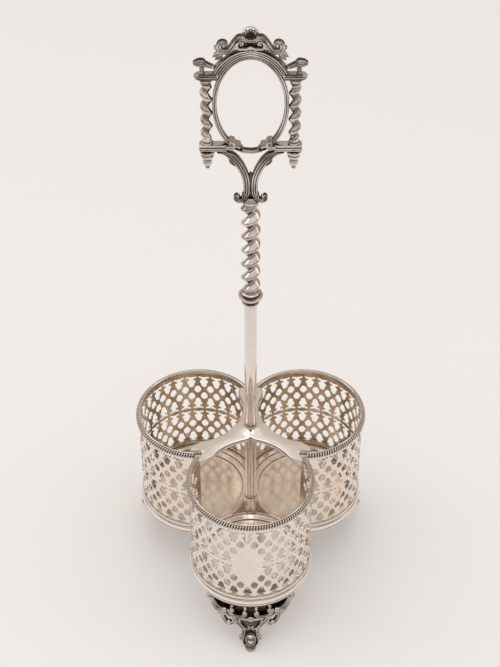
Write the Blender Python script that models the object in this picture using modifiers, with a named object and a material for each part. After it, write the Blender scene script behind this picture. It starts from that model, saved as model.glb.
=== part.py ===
"""Silver cruet stand for three bottles.

A trefoil base on three cast feet carries three C-shaped galleries, tied at the rim by a
three-armed bracket. A tube rises through the middle to a twisted grip and an oval finger ring
between two small columns. A tie rod inside the tube is drawn up by a nut under the base.
Metres, +Z up, the table at z = 0. The box of the whole stand is centred on the origin in X and Y.
"""

import math

import bmesh
import bpy
from mathutils import Matrix, Vector

MM = 0.001
GAP = 0.3 * MM  # between pieces that touch

# Wells and galleries
GALLERY_R = 45.2 * MM
GALLERY_BITE = 5.06 * MM  # how far each gallery would run past the plane between two wells
GALLERY_WALL = 1.0 * MM
GALLERY_HEIGHT = 78.8 * MM
RIM_WIRE_R = 2.0 * MM
OUTWARD = {"front": -90.0, "right": 30.0, "left": 150.0}  # degrees about +Z

# Base
FOOT_HEIGHT = 46.3 * MM
BASE_FLARE = 1.8 * MM  # how far the base's foot edge stands outside the galleries
BASE_DEPTH = 5.8 * MM
WELL_FLOOR_DEPTH = 3.0 * MM
WELL_LEDGE = 6.2 * MM  # gallery's outside to the well's edge
WELL_STEP_DEPTH = 1.4 * MM
FLOOR_CLEARANCE = 0.95 * MM  # keeps the flat floor clear of the bracket above it
BOSS_RISE = 14.0 * MM
BOSS_TIP = 22.0 * MM  # how far the boss's three ridges reach
BOSS_LAND = 1.6 * MM  # flat round the stem on the boss's top

# Feet
APRON_HALF = 33.0 * MM
APRON_DROP = 14.5 * MM
LEG_HALF = 12.0 * MM
ANKLE_HALF = 5.4 * MM
FOOT_THICK = 3.0 * MM
TOE_PAST_BASE = 3.15 * MM  # the toe's middle stands this far outside the base
TOE_R = 5.4 * MM
TOE_PAD_R = 4.2 * MM
TOE_HEIGHT = 14.0 * MM

# Stem, tie rod and fixings
STEM_R = 4.34 * MM
ROD_CLEARANCE = 0.315 * MM  # round the rod, inside the stem
STEM_LENGTH = 197.5 * MM
ROD_R = 3.175 * MM
ROD_BELOW_BASE = 12.0 * MM
BORE_CLEARANCE = 0.3 * MM
WASHER_R = 9.0 * MM
WASHER_T = 1.4 * MM
NUT_ACROSS_FLATS = 12.7 * MM
NUT_T = 6.0 * MM
KNOP_R = 8.6 * MM
KNOP_HEIGHT = 11.6 * MM

# Tie bracket
BRACKET_INSIDE_WELL = 4.05 * MM  # its sides follow the wells, this much inside their edges
BRACKET_T = 1.6 * MM
BRACKET_CAMBER = 3.3 * MM  # the middle stands this much above the tips
BRACKET_SHORT = 2.96 * MM  # the fork's notch stops this short of where two galleries meet
BRACKET_FORK = 6.0 * MM
BRACKET_TIP_HALF = 8.5 * MM
COLLAR_R = 7.6 * MM
COLLAR_HEIGHT = 3.2 * MM

# Handle
TWIST_R = 6.6 * MM
TWIST_THROW = 1.9 * MM  # how far the round section stands off the axis
TWIST_LENGTH = 73.6 * MM
TWIST_PITCH = 11.6 * MM
YOKE_HEIGHT = 40.6 * MM
YOKE_DEPTH = 5.0 * MM
ROSETTE = 4.6 * MM
RING_HALF_WIDTH = 20.9 * MM  # of the oval opening
RING_HALF_HEIGHT = 32.5 * MM
RING_WIRE_R = 1.3 * MM
RING_DEPTH_FACTOR = 1.6  # the oval wire is this much deeper than it is wide
ARCH_WIRE_R = 2.0 * MM
ARCH_FROM = 38.0  # degrees up the oval
CLASP_AT = 68.0  # degrees down the oval
BAR_DEPTH = 6.0 * MM
LOWER_BAR_HEIGHT = 5.1 * MM
UPPER_BAR_HEIGHT = 3.9 * MM
LOWER_BAR_PAST = 5.0 * MM  # past the small columns' middles
UPPER_BAR_PAST = 7.2 * MM
COLUMN_CLEARANCE = 0.4 * MM  # to the oval wire
COLUMN_R = 3.3 * MM
COLUMN_THROW = 1.0 * MM
COLUMN_LENGTH = 46.1 * MM
COLUMN_TURNS = 4.25
FINIAL_R = 4.7 * MM
FINIAL_HEIGHT = 13.9 * MM
POST_R = 1.4 * MM
POST_HEIGHT = 4.2 * MM
END_SCROLL_R = 1.9 * MM
CREST_WIRE_R = 1.5 * MM
CREST_DEPTH = 5.0 * MM
SHELL_HALF_WIDTH = 5.3 * MM
SHELL_HEIGHT = 8.5 * MM

# Levels up the stand
BASE_LOW = FOOT_HEIGHT + GAP
BASE_TOP = BASE_LOW + BASE_DEPTH
BOSS_TOP = BASE_TOP + BOSS_RISE
GALLERY_LOW = BASE_TOP + GAP
GALLERY_TOP = GALLERY_LOW + GALLERY_HEIGHT
RIM_Z = GALLERY_TOP + GAP + RIM_WIRE_R
RIM_TOP = RIM_Z + RIM_WIRE_R
BRACKET_LOW = RIM_TOP + GAP  # underside of the bracket's tips
BRACKET_TOP = BRACKET_LOW + BRACKET_CAMBER + BRACKET_T
STEM_LOW = BOSS_TOP + GAP
STEM_TOP = STEM_LOW + STEM_LENGTH
KNOP_LOW = STEM_TOP + GAP
KNOP_TOP = KNOP_LOW + KNOP_HEIGHT
TWIST_LOW = KNOP_TOP + GAP
TWIST_TOP = TWIST_LOW + TWIST_LENGTH
YOKE_LOW = TWIST_TOP + GAP
YOKE_TOP = YOKE_LOW + YOKE_HEIGHT
LOWER_BAR_LOW = YOKE_TOP + GAP
LOWER_BAR_TOP = LOWER_BAR_LOW + LOWER_BAR_HEIGHT
COLUMN_LOW = LOWER_BAR_TOP + GAP
COLUMN_TOP = COLUMN_LOW + COLUMN_LENGTH
UPPER_BAR_LOW = COLUMN_TOP + GAP
UPPER_BAR_TOP = UPPER_BAR_LOW + UPPER_BAR_HEIGHT
RING_LOW = LOWER_BAR_LOW - 2.0 * MM  # the ring's lowest outside point, between the yoke's arms
RING_A = RING_HALF_WIDTH + RING_WIRE_R  # centre line's half axes
RING_B = RING_HALF_HEIGHT + RING_WIRE_R
RING_Z = RING_LOW + RING_B + RING_WIRE_R
ARCH_A = RING_A + RING_WIRE_R + GAP + ARCH_WIRE_R
ARCH_B = RING_B + RING_WIRE_R + GAP + ARCH_WIRE_R
ARCH_TOP = RING_Z + ARCH_B + ARCH_WIRE_R

CLASP_X = RING_A * math.cos(math.radians(CLASP_AT))
COLUMN_X = RING_HALF_WIDTH + 2 * RING_WIRE_R + COLUMN_CLEARANCE + COLUMN_R
LOWER_BAR_END = COLUMN_X + LOWER_BAR_PAST
UPPER_BAR_END = COLUMN_X + UPPER_BAR_PAST

BASE_R = GALLERY_R + BASE_FLARE
WELL_R = GALLERY_R - WELL_LEDGE
HALF_SPACING = GALLERY_R - GALLERY_BITE  # well's axis to the plane between two wells
WELL_OFFSET = HALF_SPACING / math.sin(math.radians(60))  # stem axis to each well's axis
BRACKET_CONCAVE_R = WELL_R - BRACKET_INSIDE_WELL
BRACKET_REACH = WELL_OFFSET / 2 + math.sqrt(GALLERY_R**2 - HALF_SPACING**2) - BRACKET_SHORT
FLOOR_R = BRACKET_CONCAVE_R - FLOOR_CLEARANCE
TOE_OUT = BASE_R + TOE_PAST_BASE  # well's axis to the toe's middle
STEM_BORE_R = ROD_R + ROD_CLEARANCE
TOE_REACH = WELL_OFFSET + TOE_OUT + TOE_R
REAR_REACH = WELL_OFFSET * math.sin(math.radians(30)) + max(BASE_R, GALLERY_R + RIM_WIRE_R)
AXIS_Y = (TOE_REACH - REAR_REACH) / 2  # puts the stand's box on the origin

SILVER = (0.82, 0.78, 0.73, 1.0)
DARK_SILVER = (0.62, 0.57, 0.52, 1.0)
GILT_SILVER = (0.74, 0.66, 0.55, 1.0)
BRASS = (0.72, 0.55, 0.30, 1.0)
STEEL = (0.45, 0.45, 0.46, 1.0)


# Scene and helpers


def clear_scene():
    for obj in list(bpy.data.objects):
        bpy.data.objects.remove(obj, do_unlink=True)


def new_collection(name):
    collection = bpy.data.collections.new(name)
    bpy.context.scene.collection.children.link(collection)
    return collection


def metal(name, colour, roughness):
    material = bpy.data.materials.new(name)
    material.use_nodes = True
    shader = material.node_tree.nodes["Principled BSDF"]
    shader.inputs["Base Color"].default_value = colour
    shader.inputs["Metallic"].default_value = 1.0
    shader.inputs["Roughness"].default_value = roughness
    return material


def smooth(mesh, degrees=35):
    mesh.shade_smooth()
    mesh.set_sharp_from_angle(angle=math.radians(degrees))


def add_part(name, data, colour=SILVER, roughness=0.2, location=(0, 0, 0), turn=0.0):
    """A part of the stand, placed from the stem's foot and turned about the vertical."""
    obj = bpy.data.objects.new(name, data)
    PARTS.objects.link(obj)
    data.materials.append(metal(name, colour, roughness))
    obj.parent = AXIS
    obj.location = location
    obj.rotation_euler = (0, 0, math.radians(turn))
    return obj


def add_cutter(name, data, location=(0, 0, 0)):
    obj = bpy.data.objects.new(name, data)
    CUTTERS.objects.link(obj)
    obj.parent = AXIS
    obj.location = location
    obj.hide_render = True
    obj.display_type = "WIRE"
    return obj


def mesh_of(name, bm, degrees=35):
    bmesh.ops.recalc_face_normals(bm, faces=bm.faces)
    mesh = bpy.data.meshes.new(name)
    bm.to_mesh(mesh)
    bm.free()
    smooth(mesh, degrees)
    return mesh


def profile_mesh(name, points, closed=False):
    """The edges of a turned shape, as (radius, height) points down the outer side."""
    mesh = bpy.data.meshes.new(name)
    edges = [(i, i + 1) for i in range(len(points) - 1)]
    if closed:
        edges.append((len(points) - 1, 0))
    mesh.from_pydata([(r, 0, z) for r, z in points], edges, [])
    return mesh


def turn_profile(obj, steps=48):
    screw = obj.modifiers.new("Turned", "SCREW")
    screw.steps = steps
    screw.render_steps = steps
    screw.use_merge_vertices = True
    screw.merge_threshold = 0.00005
    screw.use_smooth_shade = True
    return obj


def boolean(obj, tool, operation):
    modifier = obj.modifiers.new(tool.name, "BOOLEAN")
    modifier.operation = operation
    modifier.solver = "EXACT"
    modifier.object = tool


def cylinder(name, radius, low, high, segments=48, x=0.0, y=0.0):
    bm = bmesh.new()
    place = Matrix.Translation((x, y, (low + high) / 2))
    bmesh.ops.create_cone(
        bm, cap_ends=True, segments=segments, radius1=radius, radius2=radius,
        depth=high - low, matrix=place,
    )
    return mesh_of(name, bm)


def box(name, low, high, bevel=0.0):
    """A block between two corners with its long edges eased."""
    bm = bmesh.new()
    size = [high[i] - low[i] for i in range(3)]
    middle = [(high[i] + low[i]) / 2 for i in range(3)]
    bmesh.ops.create_cube(bm, size=1.0, matrix=Matrix.Translation(middle) @ Matrix.Diagonal((*size, 1)))
    if bevel:
        bmesh.ops.bevel(bm, geom=bm.edges[:], offset=bevel, segments=2, affect="EDGES")
    return mesh_of(name, bm)


def tube_curve(name, points, radius, closed=False, sides=2, radii=None):
    """A round wire along points, with filled ends; radii are shares of the radius."""
    curve = bpy.data.curves.new(name, "CURVE")
    curve.dimensions = "3D"
    curve.bevel_depth = radius
    curve.bevel_resolution = sides
    curve.use_fill_caps = True
    spline = curve.splines.new("POLY")
    spline.points.add(len(points) - 1)
    for i, point in enumerate(points):
        spline.points[i].co = (*point, 1)
        spline.points[i].radius = radii[i] if radii else 1.0
    spline.use_cyclic_u = closed
    return curve


def flat_curve(name, outline, thickness):
    """A plate with the outline given in its own X and Y."""
    curve = bpy.data.curves.new(name, "CURVE")
    curve.dimensions = "2D"
    curve.fill_mode = "BOTH"
    curve.extrude = thickness / 2
    spline = curve.splines.new("POLY")
    spline.points.add(len(outline) - 1)
    for i, (x, y) in enumerate(outline):
        spline.points[i].co = (x, y, 0, 1)
    spline.use_cyclic_u = True
    return curve


def loft(name, rings, degrees=50):
    """A solid through rings of equally many points, closed at both ends."""
    bm = bmesh.new()
    rows = [[bm.verts.new(point) for point in ring] for ring in rings]
    count = len(rows[0])
    for lower, upper in zip(rows, rows[1:]):
        for i in range(count):
            j = (i + 1) % count
            bm.faces.new((lower[i], lower[j], upper[j], upper[i]))
    bm.faces.new(rows[0][::-1])
    bm.faces.new(rows[-1])
    return mesh_of(name, bm, degrees)


def stacked_disc(name, edge, segments):
    """A round plate whose edge is given as (radius, height) points from the bottom up."""
    rings = []
    for r, z in edge:
        angles = [2 * math.pi * i / segments for i in range(segments)]
        rings.append([(r * math.cos(a), r * math.sin(a), z) for a in angles])
    return loft(name, rings, 35)


def smooth_path(points, per_span=5):
    """A Catmull-Rom curve through the points."""
    vectors = [Vector(p) for p in points]
    ends = [2 * vectors[0] - vectors[1]] + vectors + [2 * vectors[-1] - vectors[-2]]
    path = []
    for i in range(1, len(ends) - 2):
        a, b, c, d = ends[i - 1 : i + 3]
        for step in range(per_span):
            t = step / per_span
            path.append(
                0.5 * (2 * b + (c - a) * t + (2 * a - 5 * b + 4 * c - d) * t**2
                       + (3 * b - a - 3 * c + d) * t**3)
            )
    path.append(vectors[-1])
    return path


def well_centre(side):
    angle = math.radians(OUTWARD[side])
    return Vector((WELL_OFFSET * math.cos(angle), WELL_OFFSET * math.sin(angle), 0))


def reach_angle(radius):
    """Degrees from outward to where a circle about a well stops short of its neighbour's."""
    share = min(1.0, (HALF_SPACING - GAP / 2) / radius)
    return 150.0 - math.degrees(math.acos(share))


# Base


def boss_radius(angle, rise):
    """The boss's outline at one height: sides hollowed round the wells, round at the top."""
    nearest = min(
        abs((angle - math.radians(out) + math.pi) % (2 * math.pi) - math.pi) for out in OUTWARD.values()
    )
    hollow_r = WELL_R + GAP
    inside = hollow_r**2 - (WELL_OFFSET * math.sin(nearest)) ** 2
    low = BOSS_TIP
    if inside > 0 and math.cos(nearest) > 0:
        low = min(BOSS_TIP, WELL_OFFSET * math.cos(nearest) - math.sqrt(inside))
    top = STEM_R + BOSS_LAND
    share = (1 - rise) ** 2
    return share * low + (1 - share) * top


def make_base():
    edge = [
        (BASE_R, BASE_LOW),
        (BASE_R, BASE_LOW + 0.25 * BASE_DEPTH),
        (GALLERY_R + 0.5 * BASE_FLARE, BASE_TOP - 0.3 * BASE_DEPTH),
        (GALLERY_R + 0.3 * BASE_FLARE, BASE_TOP),
    ]
    discs = {}
    for side in OUTWARD:
        mesh = stacked_disc("base_" + side, edge, 56)
        if side == "front":
            discs[side] = add_part("base_plate", mesh, SILVER, 0.22, well_centre(side))
        else:
            discs[side] = add_cutter("base_disc_" + side, mesh, well_centre(side))
    base = discs.pop("front")
    for disc in discs.values():
        boolean(base, disc, "UNION")
    for side in OUTWARD:
        for name, radius, depth in (("step", WELL_R, WELL_STEP_DEPTH), ("floor", FLOOR_R, WELL_FLOOR_DEPTH)):
            name = "well_" + name + "_" + side
            cut = cylinder(name, radius, BASE_TOP - depth, BASE_TOP + BASE_DEPTH, 48)
            boolean(base, add_cutter(name, cut, well_centre(side)), "DIFFERENCE")
    levels = 5
    points = 48
    rings = []
    for level in range(levels + 1):
        rise = level / levels
        z = BASE_TOP - 0.5 * BASE_DEPTH + (BOSS_RISE + 0.5 * BASE_DEPTH) * rise
        ring = []
        for i in range(points):
            angle = 2 * math.pi * i / points
            r = boss_radius(angle, rise)
            ring.append((r * math.cos(angle), r * math.sin(angle), z))
        rings.append(ring)
    boolean(base, add_cutter("boss", loft("boss", rings)), "UNION")
    bore = cylinder("rod_bore", ROD_R + BORE_CLEARANCE, BASE_LOW - BASE_DEPTH, BOSS_TOP + BASE_DEPTH, 32)
    boolean(base, add_cutter("rod_bore", bore), "DIFFERENCE")


# Galleries


def make_gallery(side):
    centre = well_centre(side)
    half = reach_angle(GALLERY_R)
    middle_r = GALLERY_R - GALLERY_WALL / 2
    steps = 48
    mesh = bpy.data.meshes.new("gallery_" + side)
    start = math.radians(-half)
    x = middle_r * math.cos(start)
    y = middle_r * math.sin(start)
    mesh.from_pydata([(x, y, GALLERY_TOP), (x, y, GALLERY_LOW)], [(0, 1)], [])
    wall = add_part("gallery_" + side, mesh, GILT_SILVER, 0.28, centre, OUTWARD[side])
    turn_profile(wall, steps)
    wall.modifiers["Turned"].angle = math.radians(2 * half)
    solid = wall.modifiers.new("Sheet", "SOLIDIFY")
    solid.thickness = GALLERY_WALL
    solid.offset = 0.0


def make_rim(side):
    half = reach_angle(GALLERY_R + RIM_WIRE_R)
    steps = 36
    points = []
    for i in range(steps + 1):
        angle = math.radians(-half + 2 * half * i / steps)
        points.append((GALLERY_R * math.cos(angle), GALLERY_R * math.sin(angle), RIM_Z))
    curve = tube_curve("rim_" + side, points, RIM_WIRE_R)
    add_part("rim_" + side, curve, SILVER, 0.2, well_centre(side), OUTWARD[side])


# Feet


def foot_half_width(drop):
    """Half the casting's width at a share of its height below the base."""
    apron = APRON_DROP / FOOT_HEIGHT
    if drop < apron:
        t = drop / apron
        return APRON_HALF + (LEG_HALF - APRON_HALF) * (3 * t**2 - 2 * t**3)
    t = (drop - apron) / (1 - apron)
    return LEG_HALF + (ANKLE_HALF - LEG_HALF) * math.sin(t * math.pi / 2)


def foot_out(drop):
    """The casting's distance from the well's axis: under the edge, then out to the toe."""
    start = BASE_R - 2.0 * MM
    return start + (TOE_OUT - start) * (0.35 * drop + 0.65 * drop**3)


def make_foot(side):
    rows = 10
    columns = 12
    bm = bmesh.new()
    lowest = (FOOT_HEIGHT - 0.4 * TOE_HEIGHT) / FOOT_HEIGHT
    grid = []
    for row in range(rows + 1):
        drop = lowest * row / rows
        out = foot_out(drop)
        half = foot_half_width(drop)
        line = []
        for column in range(columns + 1):
            angle = (2 * column / columns - 1) * half / out
            z = FOOT_HEIGHT * (1 - drop)
            line.append(bm.verts.new((out * math.cos(angle), out * math.sin(angle), z)))
        grid.append(line)
    for upper, lower in zip(grid, grid[1:]):
        for i in range(columns):
            bm.faces.new((upper[i], lower[i], lower[i + 1], upper[i + 1]))
    foot = add_part("foot_" + side, mesh_of("foot_" + side, bm), DARK_SILVER, 0.3, well_centre(side), OUTWARD[side])
    solid = foot.modifiers.new("Casting", "SOLIDIFY")
    solid.thickness = FOOT_THICK
    solid.offset = 0.0
    toe_profile = [
        (0, TOE_HEIGHT),
        (0.45 * TOE_R, 0.97 * TOE_HEIGHT),
        (0.75 * TOE_R, 0.8 * TOE_HEIGHT),
        (0.85 * TOE_R, 0.6 * TOE_HEIGHT),
        (TOE_R, 0.3 * TOE_HEIGHT),
        (0.95 * TOE_R, 0.12 * TOE_HEIGHT),
        (TOE_PAD_R, 0),
        (0, 0),
    ]
    toe = add_cutter("toe_" + side, profile_mesh("toe_" + side, toe_profile))
    out = math.radians(OUTWARD[side])
    toe.location = well_centre(side) + Vector((TOE_OUT * math.cos(out), TOE_OUT * math.sin(out), 0))
    turn_profile(toe, 16)
    boolean(foot, toe, "UNION")


# Tie bracket


def bracket_half(along):
    """Half an arm's width, where its sides follow the wells on both sides."""
    middle = WELL_OFFSET * math.cos(math.radians(60))
    room = BRACKET_CONCAVE_R**2 - (along - middle) ** 2
    side = HALF_SPACING - math.sqrt(max(room, 0))
    return max(0.0, min(along * math.tan(math.radians(60)), side, BRACKET_TIP_HALF))


def make_bracket():
    bm = bmesh.new()
    rows = 12
    columns = 4
    furthest = BRACKET_REACH + BRACKET_FORK
    for arm in (30, 150, 270):
        turn = Matrix.Rotation(math.radians(arm + 60), 4, "Z")
        grid = []
        for row in range(rows + 1):
            along = furthest * row / rows
            line = []
            for column in range(columns + 1):
                across = 2 * column / columns - 1
                notch = BRACKET_FORK * (1 - abs(across)) * (row / rows) ** 3
                x = along - notch
                y = bracket_half(along) * across
                z = BRACKET_TOP - BRACKET_CAMBER * (math.hypot(x, y) / furthest) ** 2
                line.append(bm.verts.new(turn @ Vector((x, y, z))))
            grid.append(line)
        for inner, outer in zip(grid, grid[1:]):
            for i in range(columns):
                bm.faces.new((inner[i], outer[i], outer[i + 1], inner[i + 1]))
    bmesh.ops.remove_doubles(bm, verts=bm.verts, dist=0.02 * MM)
    bracket = add_part("tie_bracket", mesh_of("tie_bracket", bm), SILVER, 0.15)
    solid = bracket.modifiers.new("Plate", "SOLIDIFY")
    solid.thickness = BRACKET_T
    solid.offset = -1.0
    hole = cylinder("stem_hole", STEM_R + BORE_CLEARANCE, BRACKET_LOW - BRACKET_T, BRACKET_TOP + BRACKET_T, 32)
    boolean(bracket, add_cutter("stem_hole", hole), "DIFFERENCE")


def make_collar():
    inner = STEM_R + BORE_CLEARANCE
    low = BRACKET_TOP + GAP
    profile = [
        (inner, low + COLLAR_HEIGHT),
        (inner + 0.25 * (COLLAR_R - inner), low + COLLAR_HEIGHT),
        (inner + 0.5 * (COLLAR_R - inner), low + 0.4 * COLLAR_HEIGHT),
        (COLLAR_R, low + 0.2 * COLLAR_HEIGHT),
        (COLLAR_R, low),
        (inner, low),
    ]
    turn_profile(add_part("bracket_collar", profile_mesh("bracket_collar", profile, True), SILVER, 0.2), 24)


# Stem and fixings


def make_stem():
    profile = [(STEM_BORE_R, STEM_TOP), (STEM_R, STEM_TOP), (STEM_R, STEM_LOW), (STEM_BORE_R, STEM_LOW)]
    turn_profile(add_part("stem_tube", profile_mesh("stem_tube", profile, True), SILVER, 0.12), 32)
    rod = cylinder("tie_rod", ROD_R, BASE_LOW - ROD_BELOW_BASE, KNOP_TOP - GAP, 32)
    add_part("tie_rod", rod, STEEL, 0.4)


def make_knop():
    bore = ROD_R + BORE_CLEARANCE
    shares = [(0.62, 1.0), (0.66, 0.88), (0.5, 0.8), (0.62, 0.7), (0.95, 0.58), (1.0, 0.46),
              (0.9, 0.34), (0.62, 0.26), (0.72, 0.14), (0.6, 0.0)]
    profile = [(bore, KNOP_TOP)]
    profile += [(KNOP_R * r, KNOP_LOW + KNOP_HEIGHT * h) for r, h in shares]
    profile.append((bore, KNOP_LOW))
    turn_profile(add_part("stem_knop", profile_mesh("stem_knop", profile, True), DARK_SILVER, 0.22), 24)


def make_fixings():
    bore = ROD_R + BORE_CLEARANCE
    top = BASE_LOW - GAP
    washer = [(bore, top), (WASHER_R, top), (WASHER_R, top - WASHER_T), (bore, top - WASHER_T)]
    turn_profile(add_part("base_washer", profile_mesh("base_washer", washer, True), BRASS, 0.35), 32)
    nut_top = top - WASHER_T - GAP
    corner_r = NUT_ACROSS_FLATS / 2 / math.cos(math.radians(30))
    nut_mesh = cylinder("base_nut", corner_r, nut_top - NUT_T, nut_top, 6)
    nut = add_part("base_nut", nut_mesh, BRASS, 0.35)
    hole = cylinder("nut_bore", ROD_R + 0.05 * MM, nut_top - 2 * NUT_T, nut_top + NUT_T, 32)
    boolean(nut, add_cutter("nut_bore", hole), "DIFFERENCE")


# Twisted columns


def twisted(name, radius, throw, low, length, turns, hand, x=0.0, sides=12, per_turn=8):
    """A round section that circles the axis as it climbs, drawn in to the axis at both ends."""
    section = radius - throw
    count = round(turns * per_turn)
    rings = []
    for step in range(count + 1):
        t = step / count
        angle = hand * 2 * math.pi * turns * t
        ease = min(1.0, 8 * t, 8 * (1 - t))
        cx = x + throw * ease * math.cos(angle)
        cy = throw * ease * math.sin(angle)
        ring = []
        for i in range(sides):
            around = 2 * math.pi * i / sides
            ring.append((cx + section * math.cos(around), cy + section * math.sin(around), low + length * t))
        rings.append(ring)
    return loft(name, rings)


def make_twists():
    turns = TWIST_LENGTH / TWIST_PITCH
    mesh = twisted("twist_column", TWIST_R, TWIST_THROW, TWIST_LOW, TWIST_LENGTH, turns, 1)
    add_part("twist_column", mesh, DARK_SILVER, 0.25)
    for side, sign in (("left", -1), ("right", 1)):
        name = "small_column_" + side
        mesh = twisted(
            name, COLUMN_R, COLUMN_THROW, COLUMN_LOW, COLUMN_LENGTH, COLUMN_TURNS, sign,
            sign * COLUMN_X, 8, 8,
        )
        add_part(name, mesh, DARK_SILVER, 0.28)


# Upright plates and wires of the handle


def upright(name, outline, depth, colour=DARK_SILVER):
    """A plate standing in the handle's plane, its outline given as (x, z)."""
    obj = add_part(name, flat_curve(name, outline, depth), colour, 0.25)
    obj.rotation_euler = (math.radians(90), 0, 0)
    return obj


def make_yoke():
    low = YOKE_LOW
    neck = 0.46 * YOKE_HEIGHT
    half = [
        (3.9 * MM, low),
        (5.4 * MM, low + 0.03 * YOKE_HEIGHT),
        (9.2 * MM, low + 0.05 * YOKE_HEIGHT),
        (10.3 * MM, low + 0.12 * YOKE_HEIGHT),
        (8.6 * MM, low + 0.18 * YOKE_HEIGHT),
        (5.2 * MM, low + 0.2 * YOKE_HEIGHT),
        (4.9 * MM, low + neck),
        (6.0 * MM, low + 0.6 * YOKE_HEIGHT),
        (9.6 * MM, low + 0.72 * YOKE_HEIGHT),
        (12.0 * MM, low + 0.85 * YOKE_HEIGHT),
        (CLASP_X + 9.2 * MM, low + 0.95 * YOKE_HEIGHT),
        (CLASP_X + 10.2 * MM, YOKE_TOP),
        (CLASP_X + 3.7 * MM, YOKE_TOP),
        (CLASP_X - 0.3 * MM, YOKE_TOP - 1.7 * MM),
        (CLASP_X - 2.3 * MM, YOKE_TOP - 2.9 * MM),
        (2.4 * MM, low + 0.75 * YOKE_HEIGHT),
    ]
    crotch = [(0, low + 0.56 * YOKE_HEIGHT)]
    outline = half + crotch + [(-x, z) for x, z in reversed(half)]
    upright("yoke", outline, YOKE_DEPTH)
    front = -YOKE_DEPTH / 2 - GAP
    corner = ROSETTE / 2
    rosette = box(
        "yoke_rosette", (-corner, front - 1.5 * MM, low), (corner, front, low + ROSETTE), 0.3 * MM,
    )
    add_part("yoke_rosette", rosette, SILVER, 0.2)


def oval(a, b, start, end, steps):
    points = []
    for i in range(steps):
        angle = math.radians(start + (end - start) * i / (steps - 1))
        points.append((a * math.cos(angle), 0, RING_Z + b * math.sin(angle)))
    return points


def make_ring():
    steps = 48
    points = oval(RING_A, RING_B, 0, 360 * (1 - 1 / steps), steps)
    ring = add_part("oval_ring", tube_curve("oval_ring", points, RING_WIRE_R, True), DARK_SILVER, 0.22)
    ring.scale = (1, RING_DEPTH_FACTOR, 1)
    points = oval(ARCH_A, ARCH_B, ARCH_FROM, 180 - ARCH_FROM, 25)
    arch = add_part("arch_moulding", tube_curve("arch_moulding", points, ARCH_WIRE_R), DARK_SILVER, 0.25)
    arch.scale = (1, RING_DEPTH_FACTOR, 1)


def oval_side(z, extra):
    """X of the ring's outside, and this much more, at a height."""
    a = RING_A + RING_WIRE_R + extra
    b = RING_B + RING_WIRE_R + extra
    return a * math.sqrt(max(0.0, 1 - ((z - RING_Z) / b) ** 2))


def make_bars_and_columns_trim():
    half = BAR_DEPTH / 2
    for side, sign in (("left", -1), ("right", 1)):
        inner = oval_side(LOWER_BAR_TOP, GAP + 0.1 * MM)
        xs = sorted((sign * inner, sign * LOWER_BAR_END))
        bar = box("lower_bar_" + side, (xs[0], -half, LOWER_BAR_LOW), (xs[1], half, LOWER_BAR_TOP), 0.9 * MM)
        add_part("lower_bar_" + side, bar, DARK_SILVER, 0.24)
        inner = oval_side(UPPER_BAR_LOW, GAP + 0.1 * MM)
        xs = sorted((sign * inner, sign * UPPER_BAR_END))
        bar = box("upper_bar_" + side, (xs[0], -half, UPPER_BAR_LOW), (xs[1], half, UPPER_BAR_TOP), 0.8 * MM)
        add_part("upper_bar_" + side, bar, DARK_SILVER, 0.24)
        make_finial(side, sign)
        make_clasp(side, sign)
        post_x = sign * (UPPER_BAR_END - 5.1 * MM)
        post_low = UPPER_BAR_TOP + GAP
        post = cylinder("end_post_" + side, POST_R, post_low, post_low + POST_HEIGHT, 16, post_x)
        add_part("end_post_" + side, post, DARK_SILVER, 0.3)
        make_end_scroll(side, sign, post_x, post_low + POST_HEIGHT + GAP)
        make_crest_scroll(side, sign)


def make_finial(side, sign):
    top = LOWER_BAR_LOW - GAP
    shares = [(0, 0), (1.0, 0), (1.0, 0.18), (0.85, 0.24), (0.9, 0.34), (0.6, 0.46), (0.5, 0.52),
              (0.62, 0.62), (0.6, 0.76), (0.3, 0.84), (0.34, 0.92), (0.0, 1.0)]
    profile = [(FINIAL_R * r, top - FINIAL_HEIGHT * h) for r, h in shares]
    name = "pendant_finial_" + side
    turn_profile(add_part(name, profile_mesh(name, profile), DARK_SILVER, 0.24, (sign * COLUMN_X, 0, 0)), 16)


def make_clasp(side, sign):
    """A binding round the oval wire where it leaves the lower bar."""
    angle = math.radians(-CLASP_AT)
    centre = Vector((RING_A * math.cos(angle), 0, RING_Z + RING_B * math.sin(angle)))
    along = Vector((-RING_A * math.sin(angle), 0, RING_B * math.cos(angle))).normalized()
    across = Vector((0, 1, 0))
    up = along.cross(across)
    wire = 0.7 * MM
    points = []
    steps = 20
    for i in range(steps):
        turn = 2 * math.pi * i / steps
        wide = (RING_WIRE_R * RING_DEPTH_FACTOR + wire + GAP) * math.cos(turn)
        high = (RING_WIRE_R + wire + GAP) * math.sin(turn)
        point = centre + across * wide + up * high
        points.append((sign * point.x, point.y, point.z))
    name = "ring_clasp_" + side
    add_part(name, tube_curve(name, points, wire, True), DARK_SILVER, 0.24)


def make_end_scroll(side, sign, post_x, low):
    start_x = oval_side(low, GAP + 2 * ARCH_WIRE_R + 1.7 * MM)
    middle = low + END_SCROLL_R + 2 * GAP
    points = [
        (sign * start_x, 0, middle - 3.2 * MM),
        (sign * (start_x + 2.6 * MM), 0, middle - 2.6 * MM),
        (post_x, 0, middle),
        (sign * UPPER_BAR_END, 0, middle - 0.3 * MM),
    ]
    path = smooth_path(points)
    last = len(path) - 1
    radii = [0.6 + 0.4 * min(1.0, 1.5 * i / last) for i in range(last + 1)]
    name = "end_scroll_" + side
    add_part(name, tube_curve(name, path, END_SCROLL_R, radii=radii), DARK_SILVER, 0.26)


def arch_height(x):
    """Z of the arch's top side at a place along the handle."""
    a = ARCH_A + ARCH_WIRE_R
    b = ARCH_B + ARCH_WIRE_R
    return RING_Z + b * math.sqrt(max(0.0, 1 - (x / a) ** 2))


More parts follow.
